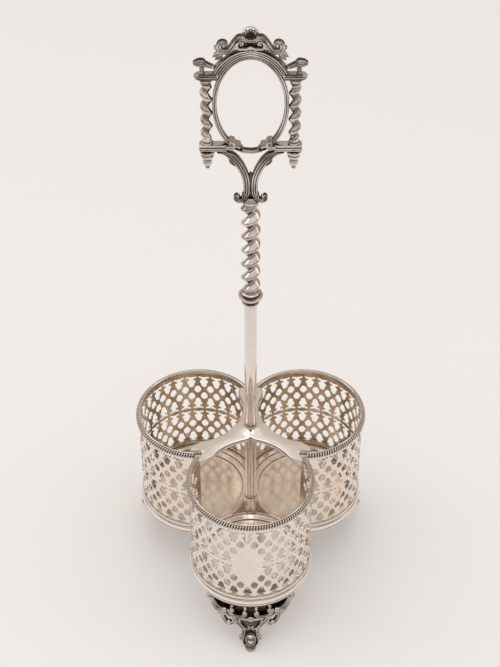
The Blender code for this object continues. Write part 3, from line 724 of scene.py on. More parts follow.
def make_bracket():
    """A domed sheet with three forked arms; its edge has a groove and is turned down."""
    piece = Piece()
    bm = piece.bm
    top = high("tie_bracket").z
    camber = top - low("tie_bracket").z - BRACKET_SHEET
    furthest = BRACKET_REACH + BRACKET_FORK
    columns = 20
    start = STEM_R - 1.0 * MM
    seam_end = (WELL_OFFSET - BRACKET_CONCAVE_R) / 2
    stations = [start + (seam_end - start) * i / 5 for i in range(5)]
    stations += [seam_end + (furthest - seam_end) * (i / 44) for i in range(45)]
    for arm in (30, 150, 270):
        turn = on_axis() @ Matrix.Rotation(math.radians(arm + 60), 4, "Z")
        grid = []
        for along in stations:
            t = along / furthest
            half = bracket_half(along)
            line = []
            for column in range(columns + 1):
                across = 2 * column / columns - 1
                notch = BRACKET_FORK * max(0.0, 1 - (abs(across) / 0.62) ** 2) * t**11
                lobe = 3.4 * MM * max(0.0, (abs(across) - 0.78) / 0.22) ** 2 * t**14
                x = along - notch - lobe
                y = half * across
                reach = math.hypot(x, y)
                cone = 2.8 * MM * max(0.0, 1 - max(0.0, reach - STEM_R) / (12 * MM)) ** 2.4
                rounding = 0.9 * MM * across**2 * min(1.0, max(0.0, along - seam_end) / (12 * MM))
                z = top - camber * (reach / furthest) ** 2 + cone - rounding * (1 - t**4)
                line.append(piece.point(turn @ Vector((x, y, z))))
            grid.append(line)
        piece.skin(grid, around=False, caps=False)
    bmesh.ops.remove_doubles(bm, verts=bm.verts, dist=0.03 * MM)
    ring = outer_edge(bm)
    count = len(ring)
    skirt = [ring]
    for out, drop, recess in ((0.2, 0.2, 0.0), (0.25, 0.6, 1.0), (0.6, 0.85, 0.1), (0.85, 1.4, 0.0),
                              (0.85, 2.5, 0.0), (0.6, 3.0, 0.5)):
        row = []
        for i, vert in enumerate(ring):
            along = ring[(i + 1) % count].co - ring[i - 1].co
            outward = Vector((along.y, -along.x, 0)).normalized()
            reach = math.hypot(vert.co.x, vert.co.y - AXIS_Y)
            depth = drop * (1 - 0.45 * min(1.0, max(0.0, reach / furthest - 0.75) / 0.25))
            row.append(piece.point(vert.co + outward * out * MM - Vector((0, 0, depth * MM)), recess))
        skirt.append(row)
    piece.skin(skirt, caps=False)
    bmesh.ops.recalc_face_normals(bm, faces=bm.faces)
    if sum(f.normal.z * f.calc_area() for f in bm.faces) < 0:
        bmesh.ops.reverse_faces(bm, faces=bm.faces)
    obj = piece.finish("tie_bracket_plate", [POLISHED], ["tie_bracket"], degrees=60)
    sheet = obj.modifiers.new("Sheet", "SOLIDIFY")
    sheet.thickness = BRACKET_SHEET
    sheet.offset = -1.0


def make_collar():
    piece = Piece()
    bottom = low("bracket_collar").z
    bore = STEM_R / MM + 0.05
    profile = [
        (bore, 3.2, 0.2), (bore + 0.35, 3.15, 0.0), (bore + 0.6, 2.85, 0.0), (bore + 0.62, 2.5, 0.0),
        (bore + 0.45, 2.2, 0.3), (bore + 0.4, 2.0, 0.9), (bore + 0.6, 1.6, 0.4), (bore + 0.6, 0.4, 0.3),
        (bore, 0.4, 0.2),
    ]
    piece.lathe(in_mm(profile), on_axis(bottom), 96)
    piece.finish("stem_collar", [POLISHED], ["bracket_collar"])


# Stem, knop and fixings


def make_stem():
    piece = Piece()
    bottom = low("stem_tube").z
    length = high("stem_tube").z - bottom
    r = STEM_R
    inner = STEM_R - STEM_WALL
    profile = [
        (inner, 0.0, 0.5), (r + 0.75 * MM, 0.0, 0.1), (r + 0.4 * MM, 0.7 * MM, 0.0),
        (r + 0.15 * MM, 1.4 * MM, 0.0), (r, 4.0 * MM, 0.0), (r, 0.5 * length, 0.0),
        (r, length - 0.3 * MM, 0.1), (r - 0.15 * MM, length, 0.4), (inner, length, 0.6),
    ]
    piece.lathe(profile, on_axis(bottom), 96)
    piece.finish("stem", [POLISHED], ["stem_tube"])


def make_knop():
    piece = Piece()
    bottom, top = low("stem_knop").z, high("stem_knop").z
    height = top - bottom
    wide = half_width("stem_knop")
    bore = KNOP_BORE
    shares = [
        (0.55, 0.0, 0.5), (0.66, 0.02, 0.0), (0.72, 0.07, 0.0), (0.7, 0.13, 0.0), (0.6, 0.165, 0.9),
        (0.6, 0.2, 0.5), (0.66, 0.27, 0.0), (0.76, 0.36, 0.0), (0.88, 0.45, 0.0), (0.96, 0.5, 0.1),
        (0.93, 0.525, 0.9), (0.99, 0.555, 0.1), (1.0, 0.6, 0.0), (0.97, 0.65, 0.0), (0.84, 0.68, 0.3),
        (0.66, 0.7, 0.9), (0.6, 0.75, 0.6), (0.64, 0.79, 0.0), (0.74, 0.82, 0.0), (0.77, 0.87, 0.0),
        (0.72, 0.92, 0.0), (0.6, 0.945, 0.8), (0.62, 0.97, 0.2), (0.58, 1.0, 0.4),
    ]
    profile = [(bore, 0.0, 0.5)] + [(wide * r, height * h, g) for r, h, g in shares] + [(bore, height, 0.5)]
    piece.lathe(profile, on_axis(bottom), 64)
    piece.finish("knop", [CAST], ["stem_knop"])


def make_rod():
    piece = Piece()
    bottom, top = low("tie_rod").z, high("tie_rod").z
    radius = half_width("tie_rod")
    thread_top = bottom + THREAD_LENGTH
    per_turn = 24
    rows = []
    levels = int((thread_top - bottom) / THREAD_PITCH * 8)
    for level in range(levels + 1):
        z = bottom + (thread_top - bottom) * level / levels
        chamfer = min(1.0, (z - bottom) / (1.2 * MM))
        row = []
        for i in range(per_turn):
            angle = TAU * i / per_turn
            phase = (z / THREAD_PITCH - i / per_turn) % 1.0
            cut = THREAD_DEPTH * (1 - abs(2 * phase - 1))
            r = radius - max(cut, 0.8 * MM * (1 - chamfer))
            place = (r * math.cos(angle), AXIS_Y + r * math.sin(angle), z)
            row.append(piece.point(place, 0.8 * cut / THREAD_DEPTH))
        rows.append(row)
    for z, r in ((thread_top + 0.3 * MM, radius), (top - 0.4 * MM, radius), (top, radius - 0.4 * MM)):
        rows.append(level_ring(piece, r, z, per_turn))
    piece.skin(rows)
    piece.finish("threaded_rod", [STEEL], ["tie_rod"])


def make_washer():
    piece = Piece()
    bottom, top = low("base_washer").z, high("base_washer").z
    r = half_width("base_washer")
    t = top - bottom
    bore = WASHER_BORE
    profile = [
        (bore, 0.15 * t, 0.2), (bore + 0.2 * MM, 0.0, 0.0), (r - 0.5 * MM, 0.0, 0.0),
        (r - 0.1 * MM, 0.2 * t, 0.0), (r, 0.5 * t, 0.0), (r - 0.1 * MM, 0.85 * t, 0.0),
        (r - 0.35 * MM, t, 0.2), (bore, t, 0.2),
    ]
    piece.lathe(profile, on_axis(bottom), 64)
    piece.finish("washer_plate", [BRASS], ["base_washer"], "washer")


def make_nut():
    """A six-sided nut, its corners turned down at both ends."""
    piece = Piece()
    bottom, top = low("base_nut").z, high("base_nut").z
    flats = NUT_FLATS / 2
    corner = flats / math.cos(math.radians(30))
    bore = NUT_BORE
    phase = math.radians(30)
    sides = 72
    thickness = top - bottom
    rows = []
    for share, cap in ((0.0, 0.93 * flats), (0.0, 0.97 * flats), (0.13, corner), (0.5, corner),
                       (0.87, corner), (1.0, 0.97 * flats), (1.0, 0.93 * flats)):
        row = []
        for i in range(sides):
            angle = TAU * i / sides
            local = (angle + phase) % (TAU / 6) - TAU / 12
            r = min(flats / math.cos(local), cap)
            row.append(piece.point((r * math.cos(angle), AXIS_Y + r * math.sin(angle),
                                    bottom + share * thickness)))
        rows.append(row)
    for share, r in ((1.0, bore + 0.5 * MM), (0.93, bore), (0.07, bore), (0.0, bore + 0.5 * MM)):
        rows.append(level_ring(piece, r, bottom + share * thickness, sides, 0.3))
    piece.skin(rows, loop=True)
    piece.finish("hex_nut", [BRASS], ["base_nut"], "nut", 25)


# Twisted columns


def twist(piece, x, bottom, length, radius, throw, pitch, hand, phase, around=48, per_turn=26):
    """A rope-like column: one fat strand that climbs round the axis, a fillet on each side of it."""
    levels = int(length / pitch * per_turn)
    rows = []
    for level in range(levels + 1):
        z = length * level / levels
        start = hand * TAU * z / pitch + phase
        ease = min(1.0, z / (0.3 * pitch), (length - z) / (0.3 * pitch))
        row = []
        for i in range(around):
            angle = TAU * i / around
            local = (angle - start + math.pi) % TAU - math.pi
            share = abs(local) / math.pi
            section = radius - throw
            r = throw * math.cos(local) + math.sqrt(max(section**2 - (throw * math.sin(local)) ** 2, 0))
            groove = math.exp(-(((share - 1.0) / 0.16) ** 2))
            line = math.exp(-(((share - 0.66) / 0.035) ** 2))
            r -= 0.16 * radius * groove + 0.05 * radius * line
            r = section + (r - section) * ease
            row.append(piece.point(
                (x + r * math.cos(angle), AXIS_Y + r * math.sin(angle), bottom + z),
                min(1.0, 0.95 * groove + 0.8 * line),
            ))
        rows.append(row)
    piece.skin(rows)


def make_twists():
    piece = Piece()
    bottom, top = low("twist_column").z, high("twist_column").z
    twist(piece, 0.0, bottom, top - bottom, TWIST_R, TWIST_THROW, TWIST_PITCH, 1, math.radians(200), 60, 30)
    cap = [
        (0.0, 0.0, 0.0), (3.6, 0.0, 0.4), (4.9, 0.15, 0.0), (5.2, 0.7, 0.0), (4.9, 1.2, 0.2),
        (4.4, 1.4, 0.8), (0.0, 1.4, 0.5),
    ]
    piece.lathe(in_mm(cap), on_axis(bottom), 48)
    piece.lathe(in_mm(cap, -1), on_axis(top), 48)
    piece.finish("barley_twist", [CAST], ["twist_column"], degrees=60)
    for side, sign in (("left", -1), ("right", 1)):
        node = "small_column_" + side
        piece = Piece()
        bottom, top = low(node).z, high(node).z
        x = (low("pendant_finial_" + side).x + high("pendant_finial_" + side).x) / 2
        length = top - bottom - 2 * PILLAR_FOOT
        pitch = length / PILLAR_TURNS
        start = bottom + PILLAR_FOOT
        twist(piece, x, start, length, PILLAR_R, PILLAR_THROW, pitch, sign, 0.0, 40, 26)
        cap = [
            (0.0, 0.0, 0.3), (3.6, 0.0, 0.3), (3.9, 0.35, 0.0), (3.9, 0.9, 0.0), (3.4, 1.25, 0.8),
            (2.8, 1.5, 0.6), (3.3, 2.0, 0.0), (3.0, 2.6, 0.1), (2.4, 3.1, 0.9), (0.0, 3.2, 0.5),
        ]
        piece.lathe(in_mm(cap), on_axis(bottom, x), 32)
        piece.lathe(in_mm(cap, -1), on_axis(top, x), 32)
        piece.finish("twist_pillar_" + side, [CAST], [node], degrees=60)


# Handle


FACING = Vector((0, -1, 0))


def upright(x, z, y=0.0):
    """A place in the handle's plane, all in mm; z is above the table."""
    return Vector((x * MM, AXIS_Y + y * MM, z * MM))


def scroll(piece, points, section, sizes=None, per_span=5):
    """Sweeps a section along a smooth line through (x, z) points in mm."""
    path = catmull([upright(x, z) for x, z in points], per_span)
    piece.sweep(path, section, FACING, spread_sizes(sizes, len(path), per_span))


def taper(count, start, end):
    """Sizes that run evenly from one share to another."""
    shares = [start + (end - start) * i / (count - 1) for i in range(count)]
    return [(share, share) for share in shares]


def eye(piece, x, z, radius, depth):
    """The button at a volute's heart, proud on both faces."""
    radii = (radius * MM, depth / 2 * MM, radius * MM)
    piece.ball(upright(x, z), radii, rings=8, segments=14)


def leaf(piece, x, z, angle, length, width, depth, curl_up=0.0, mirror=1):
    """A pointed leaf with a raised rib, lying along an angle in the handle's plane."""
    turn = math.radians(angle)
    points = []
    for i in range(5):
        t = i / 4
        bend = curl_up * t * t
        points.append((
            mirror * (x + length * t * math.cos(turn) - bend * math.sin(turn)),
            z + length * t * math.sin(turn) + bend * math.cos(turn),
        ))
    sizes = [(0.45, 0.7), (1.0, 1.0), (0.95, 0.95), (0.6, 0.75), (0.08, 0.3)]
    scroll(piece, points, reeded(width, depth, 3, 0.16 * depth, 4, 0.4, 2.0), sizes, 3)


def make_yoke():
    piece = Piece()
    base = low("yoke").z / MM
    for sign in (-1, 1):
        centre = [
            (21.0, 40.2), (16.4, 39.5), (12.2, 36.9), (8.7, 33.0), (6.0, 28.2), (3.7, 22.6), (2.55, 16.6),
            (2.45, 10.6), (2.9, 6.6),
        ]
        curls = curl(7.9, 5.0, 4.4, 0.9, 165, 420, 10)
        points = mirrored([(x, base + z) for x, z in centre + curls], sign)
        count = len(points)
        sizes = []
        for i in range(count):
            if i < len(centre):
                sizes.append(((0.12, 0.5, 0.8, 0.84, 0.82, 0.78, 0.74, 0.7, 0.66)[i], 1.0))
            else:
                t = (i - len(centre)) / (count - len(centre) - 1)
                sizes.append((0.62 - 0.32 * t, 1.0 - 0.25 * t))
        scroll(piece, points, reeded(6.0, 5.0, 3, 0.75), sizes, per_span=4)
        eye(piece, sign * 7.9, base + 5.0, 1.25, 5.2)
        leaf(piece, 13.2, base + 35.6, -122, 9.6, 4.4, 4.6, -1.2, sign)
        leaf(piece, 7.0, base + 2.4, -8, 3.4, 2.0, 4.2, 1.4, sign)
    outline = [(-2.0, 4.0), (-2.6, 14.0), (-2.2, 20.5), (0.0, 24.0), (2.2, 20.5), (2.6, 14.0), (2.0, 4.0)]
    web(piece, [(x, base + z) for x, z in outline], 2.4, 0.9)
    foot = [
        (0.0, 0.0, 0.2), (4.2, 0.0, 0.3), (5.2, 0.3, 0.0), (5.3, 1.0, 0.0), (4.6, 1.5, 0.8),
        (3.8, 2.4, 0.4), (0.0, 2.6, 0.4),
    ]
    piece.lathe(in_mm(foot), on_axis(base * MM), 40)
    piece.finish("yoke_arms", [CAST], ["yoke"])


def web(piece, outline, depth, recess):
    """A flat plate behind other ornament; outline in mm."""
    rows = []
    for side in (-0.5, 0.5):
        rows.append([piece.point(upright(x, z, side * depth), recess) for x, z in outline])
    piece.skin(rows)


def make_rosette():
    piece = Piece()
    corner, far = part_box("yoke_rosette")
    x = (corner.x + far.x) / 2
    z = (corner.z + far.z) / 2
    half = (far.x - corner.x) / 2
    depth = far.y - corner.y
    matrix = Matrix.Translation((x, far.y, z)) @ Matrix.Rotation(math.radians(90), 4, "X")
    rows = []
    for share, up, recess in ((1.0, 0.0, 0.4), (1.0, 0.45, 0.0), (0.93, 0.6, 0.0), (0.76, 0.6, 0.0),
                              (0.7, 0.42, 0.9), (0.4, 0.45, 0.9)):
        row = []
        for i in range(32):
            angle = TAU * i / 32
            square = 1 / max(abs(math.cos(angle)), abs(math.sin(angle)))
            reach = half * share * (min(square, 1.3) if share > 0.5 else 1.0)
            row.append(piece.point(matrix @ Vector((reach * math.cos(angle), reach * math.sin(angle),
                                                    depth * up)), recess))
        rows.append(row)
    piece.skin(rows)
    for i in range(8):
        angle = TAU * (i + 0.5) / 8
        spot = matrix @ Vector((0.45 * half * math.cos(angle), 0.45 * half * math.sin(angle), 0.5 * depth))
        piece.ball(spot, (0.24 * half, 0.3 * depth, 0.24 * half), rings=6, segments=10)
    piece.ball(matrix @ Vector((0, 0, 0.55 * depth)), (0.27 * half, 0.4 * depth, 0.27 * half), rings=6,
               segments=12)
    piece.finish("rosette", [CAST], ["yoke_rosette"])


def ellipse(a, b, cz, start, end, steps):
    points = []
    for i in range(steps):
        angle = math.radians(start + (end - start) * i / (steps - 1))
        points.append(Vector((a * math.cos(angle), AXIS_Y, cz + b * math.sin(angle))))
    return points


RING_LOW, RING_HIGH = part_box("oval_ring")
RING_Z = (RING_LOW.z + RING_HIGH.z) / 2
RING_WIRE = 1.3 * MM
RING_A = (RING_HIGH.x - RING_LOW.x) / 2 - RING_WIRE
RING_B = (RING_HIGH.z - RING_LOW.z) / 2 - RING_WIRE


def make_ring():
    piece = Piece()
    steps = 144
    path = ellipse(RING_A, RING_B, RING_Z, 0, 360 * (1 - 1 / steps), steps)
    section = reeded(2.6, 4.1, 2, 0.5, 5)
    piece.sweep(path, section, FACING, closed=True)
    piece.finish("finger_ring", [CAST], ["oval_ring"])


def make_arch():
    piece = Piece()
    wire = 2.0 * MM
    a = RING_A + RING_WIRE + 0.3 * MM + wire
    b = RING_B + RING_WIRE + 0.3 * MM + wire
    path = ellipse(a, b, RING_Z, 38, 142, 80)
    piece.sweep(path, reeded(4.0, 6.2, 3, 0.75, 5), FACING)
    for sign in (-1, 1):
        spot = a * math.cos(math.radians(46)) / MM
        up = (RING_Z + b * math.sin(math.radians(46))) / MM
        outline = [
            (spot + 1.0, up - 5.0), (spot + 4.6, up - 4.4), (spot + 3.4, up + 0.6), (spot - 0.6, up + 5.2),
            (spot - 4.0, up + 6.0), (spot - 1.0, up + 1.0),
        ]
        web(piece, mirrored(outline, sign), 4.6, 0.75)
        leaf(piece, spot + 3.4, up - 4.6, 104, 7.0, 2.6, 5.4, 1.0, sign)
    piece.finish("reeded_arch", [CAST], ["arch_moulding"])


def bar_section(height, depth):
    """A moulded bar's section as (up, front, recess): a flat band between two fillets."""
    front = [
        (-0.5, 0.36, 0.3), (-0.44, 0.47, 0.0), (-0.3, 0.5, 0.0), (-0.2, 0.47, 0.1), (-0.17, 0.38, 0.95),
        (-0.02, 0.36, 0.7), (0.02, 0.44, 0.1), (0.16, 0.46, 0.0), (0.22, 0.4, 0.8), (0.27, 0.47, 0.0),
        (0.4, 0.5, 0.0), (0.5, 0.43, 0.0),
    ]
    section = [(u * height, f * depth, g) for u, f, g in front]
    return section + [(u, -f, g) for u, f, g in reversed(section)]


def make_bar(sign, node, name, pointed):
    piece = Piece()
    corner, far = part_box(node)
    height = far.z - corner.z
    depth = far.y - corner.y
    inner = min(abs(corner.x), abs(far.x))
    outer = max(abs(corner.x), abs(far.x))
    middle = (corner.z + far.z) / 2
    tip = (0.0, 0.6, 1.8, 3.4) if pointed else (0.0, 0.35, 0.8, 1.4)
    shrink = (0.2, 0.5, 0.82, 1.0) if pointed else (0.82, 0.96, 0.96, 1.0)
    stations = [(outer - t * MM, s) for t, s in zip(tip, shrink)]
    stations += [(inner + (outer - inner) * t, 1.0) for t in (0.5, 0.25)]
    stations += [(inner + 0.4 * MM, 1.0), (inner, 0.9)]
    path = [Vector((sign * x, AXIS_Y, middle)) for x, _ in stations]
    section = [(-u * sign, f, g) for u, f, g in bar_section(height, depth)]
    piece.sweep(path, section, FACING, [(s, s) for _, s in stations])
    piece.finish(name, [CAST], [node])


def make_bars():
    for side, sign in (("left", -1), ("right", 1)):
        make_bar(sign, "lower_bar_" + side, "moulded_bar_" + side, False)
        make_bar(sign, "upper_bar_" + side, "shoulder_bar_" + side, True)
        make_clasp(side, sign)
        make_finial(side)
        make_post(side)
        make_end_scroll(side, sign)
        make_crest_scroll(side, sign)


def make_clasp(side, sign):
    """Leafage that grips the oval ring where it meets the bar."""
    piece = Piece()
    top = high("lower_bar_left").z / MM
    eye(piece, sign * 12.6, top + 0.1, 1.7, 7.0)
    points = curl(12.6, top + 0.1, 2.3, 2.7, 70, 330, 9) + [(8.6, top - 0.6), (6.6, top - 1.7)]
    scroll(piece, mirrored(points, sign), reeded(1.8, 7.0, 1, 0.3, 6, 0.4, 2.0), None, 3)
    for i in range(4):
        leaf(piece, 10.6 - 1.3 * i, top - 3.9 - 0.2 * i, 92 + 10 * i, 4.4 - 0.5 * i, 1.6, 6.2, 0.4, sign)
    leaf(piece, 6.8, top - 4.6, 164, 2.6, 1.5, 5.4, -0.5, sign)
    piece.finish("leaf_clasp_" + side, [CAST], ["ring_clasp_" + side])


def turn_in_box(name, node, shares, segments, way=1):
    """Lathes shares of the node's radius and height; a way of -1 hangs the shape from its top."""
    piece = Piece()
    corner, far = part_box(node)
    radius = (far.x - corner.x) / 2
    height = far.z - corner.z
    start = corner.z if way > 0 else far.z
    profile = [(radius * r, way * height * h, g) for r, h, g in shares]
    piece.lathe(profile, on_axis(start, (corner.x + far.x) / 2), segments)
    piece.finish(name, [CAST], [node])


def make_finial(side):
    shares = [
        (0, 0, 0.0), (0.94, 0, 0.1), (1.0, 0.03, 0.0), (1.0, 0.1, 0.0), (0.95, 0.14, 0.1),
        (0.72, 0.17, 0.9), (0.7, 0.2, 0.6), (0.84, 0.23, 0.0), (0.88, 0.29, 0.0), (0.8, 0.36, 0.0),
        (0.58, 0.43, 0.2), (0.44, 0.47, 0.9), (0.44, 0.51, 0.6), (0.58, 0.55, 0.0), (0.64, 0.61, 0.0),
        (0.62, 0.7, 0.0), (0.48, 0.77, 0.2), (0.26, 0.81, 0.9), (0.27, 0.85, 0.3), (0.33, 0.9, 0.0),
        (0.25, 0.97, 0.0), (0, 1.0, 0.0),
    ]
    turn_in_box("drop_finial_" + side, "pendant_finial_" + side, shares, 40, -1)


def make_post(side):
    shares = [
        (0, 0, 0.2), (1.2, 0, 0.2), (1.25, 0.1, 0.0), (1.0, 0.2, 0.8), (0.85, 0.3, 0.2), (1.05, 0.45, 0.0),
        (1.15, 0.55, 0.0), (0.95, 0.68, 0.2), (0.8, 0.76, 0.8), (1.15, 0.88, 0.0), (1.1, 1.0, 0.1),
        (0, 1.0, 0.2),
    ]
    turn_in_box("turned_post_" + side, "end_post_" + side, shares, 28)


def make_end_scroll(side, sign):
    piece = Piece()
    corner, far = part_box("end_scroll_" + side)
    inner = min(abs(corner.x), abs(far.x)) / MM
    outer = max(abs(corner.x), abs(far.x)) / MM
    bottom, top = corner.z / MM, far.z / MM
    middle = top - 2.0
    points = [
        (inner + 0.3, bottom + 1.3), (inner + 2.6, bottom + 2.1), (inner + 5.6, middle - 0.9),
        (outer - 5.4, middle + 0.1), (outer - 2.6, middle - 0.1), (outer - 0.2, middle - 0.4),
    ]
    points = mirrored(points, sign)
    sizes = [(0.6, 0.8), (0.75, 0.9), (0.9, 1.0), (1.35, 1.1), (1.25, 1.05), (0.55, 0.7)]
    scroll(piece, points, reeded(3.4, 4.2, 3, 0.6), sizes)
    leaf(piece, outer - 6.8, middle - 1.0, 62, 3.6, 2.0, 3.8, -1.0, sign)
    eye(piece, sign * (inner + 0.9), bottom + 1.4, 1.3, 4.4)
    piece.finish("corner_scroll_" + side, [CAST], ["end_scroll_" + side])


def make_crest_scroll(side, sign):
    piece = Piece()
    arch_top = high("arch_moulding").z / MM
    vx = 15.9
    vz = arch_top + 2.4
    base = [
        (0.0, arch_top + 5.9), (3.2, arch_top + 6.4), (6.2, arch_top + 7.4), (8.4, arch_top + 5.6),
        (10.2, arch_top + 2.9),
    ]
    points = base + curl(vx, vz, 4.6, 1.0, 205, 560, 14)
    points = mirrored(points, sign)
    count = len(points)
    sizes = [(1.0 - 0.5 * max(0, i - 6) / (count - 7), 1.0 - 0.3 * i / (count - 1)) for i in range(count)]
    sizes[0] = (0.6, 1.0)
    sizes[1] = (0.75, 1.0)
    scroll(piece, points, reeded(3.7, 4.9, 2, 0.6), sizes, per_span=4)
    eye(piece, sign * vx, vz, 1.4, 4.8)
    leaf(piece, 16.4, vz - 4.6, -14, 7.0, 3.2, 4.6, -1.8, sign)
    leaf(piece, 17.0, vz - 6.2, -30, 5.6, 3.0, 4.6, -1.0, sign)
    leaf(piece, 19.2, vz - 2.2, 10, 2.8, 2.2, 4.2, 1.0, sign)
    piece.finish("crest_scroll_band_" + side, [CAST], ["crest_scroll_" + side])


def make_crest():
    piece = Piece()
    bottom = low("crest_cartouche").z / MM
    for sign in (-1, 1):
        points = [(0.0, bottom + 2.6), (1.4, bottom + 1.6), (2.9, bottom + 1.0)]
        points = mirrored(points + curl(6.0, bottom + 3.5, 2.9, 0.9, 235, 600, 14), sign)
        scroll(piece, points, reeded(1.9, 7.4, 1, 0.3, 6, 0.4, 2.0), taper(len(points), 1.0, 0.65),
               per_span=3)
        eye(piece, sign * 6.0, bottom + 3.5, 1.05, 7.8)
    for front in (-2.6, 2.6):
        piece.ball(upright(0, bottom + 0.9, front), (1.1 * MM, 0.9 * MM, 1.0 * MM))
    outline = [
        (-6.6, bottom + 0.2), (-6.6, bottom + 4.4), (-3.0, bottom + 5.4), (3.0, bottom + 5.4),
        (6.6, bottom + 4.4), (6.6, bottom + 0.2),
    ]
    web(piece, outline, 3.4, 1.0)
    piece.finish("cartouche", [CAST], ["crest_cartouche"])
    make_shell()


def make_shell():
    """A small fan shell: a domed, fluted body inside a scalloped bead."""
    piece = Piece()
    corner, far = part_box("shell_finial")
    bottom = corner.z / MM
    height = (far.z - corner.z) / MM
    wide = (far.x - corner.x) / 2 / MM
    flutes = 7
    across = 56
    rim = []
    for i in range(across + 1):
        t = i / across
        angle = math.radians(-14 + 208 * t)
        scallop = 0.9 + 0.1 * abs(math.sin(math.pi * flutes * t))
        rim.append(((wide - 0.6) * scallop * math.cos(angle),
                    bottom + 0.34 * height + (0.66 * height - 0.6) * scallop * math.sin(angle)))
    for face in (-1, 1):
        rows = []
        for k in range(7):
            share = k / 6
            swell = 2.3 * math.sqrt(max(0.0, 1 - share**2.4)) + 0.2
            row = []
            for i, (x, z) in enumerate(rim):
                flute = abs(math.sin(math.pi * flutes * i / across))
                depth = swell - 0.5 * share * (1 - flute)
                heart = bottom + 0.12 * height
                row.append(piece.point(
                    upright(share * x, heart + (z - heart) * share, face * depth),
                    1.0 if share < 0.75 else 0.7 - 0.5 * flute,
                ))
            rows.append(row)
        piece.skin(rows, around=False, caps=False)
    scroll(piece, rim, bead(1.15, 3.0, 8), per_span=1)
    for sign in (-1, 1):
        line = [(0.0, 0.7), (2.4, 0.6)] + curl(4.1, 1.9, 1.3, 0.5, 250, 560, 8)
        points = mirrored([(x, bottom + z) for x, z in line], sign)
        scroll(piece, points, bead(1.2, 5.0), per_span=3)
        leaf(piece, 3.4, bottom + 3.0, 20, 2.0, 1.4, 4.4, 0.8, sign)
    piece.finish("shell", [CAST], ["shell_finial"])


# Feet


def foot_out(z):
    """How far the casting stands from the well's axis at a height, both in mm."""
    full = BASE_LOW / MM
    drop = (full - z) / full
    start = BASE_R / MM - 2.0
    return start + (TOE_OUT - start) * (0.35 * drop + 0.65 * drop**3)


class FootSpace:
    """Turns (across, up, proud) in mm on a foot's curved face into places on the stand."""

    def __init__(self, side):
        self.centre = well_centre(side)
        self.turn = math.radians(OUTWARD[side])

    def place(self, u, z, proud=0.0):
        out = foot_out(z)
        return round_well(self.centre, (out + proud) * MM, self.turn + u / out, z * MM)

    def facing(self, place):
        out = place - self.centre
        out.z = 0
        return (out.normalized() + Vector((0, 0, 0.12))).normalized()

    def frame(self, u, z, proud):
        spot = self.place(u, z, proud)
        return Matrix.Translation(spot) @ looking(self.facing(spot))

    def scroll(self, piece, points, section, sizes=None, proud=0.0, per_span=4):
        flat = catmull([Vector((u, z, 0)) for u, z in points], per_span)
        path = [self.place(p.x, p.y, proud) for p in flat]
        piece.sweep(path, section, self.facing, spread_sizes(sizes, len(path), per_span))

    def button(self, piece, u, z, radius, proud):
        matrix = self.frame(u, z, proud)
        piece.ball(matrix.translation, [radius * MM] * 3, matrix.to_3x3().to_4x4(), 8, 14)


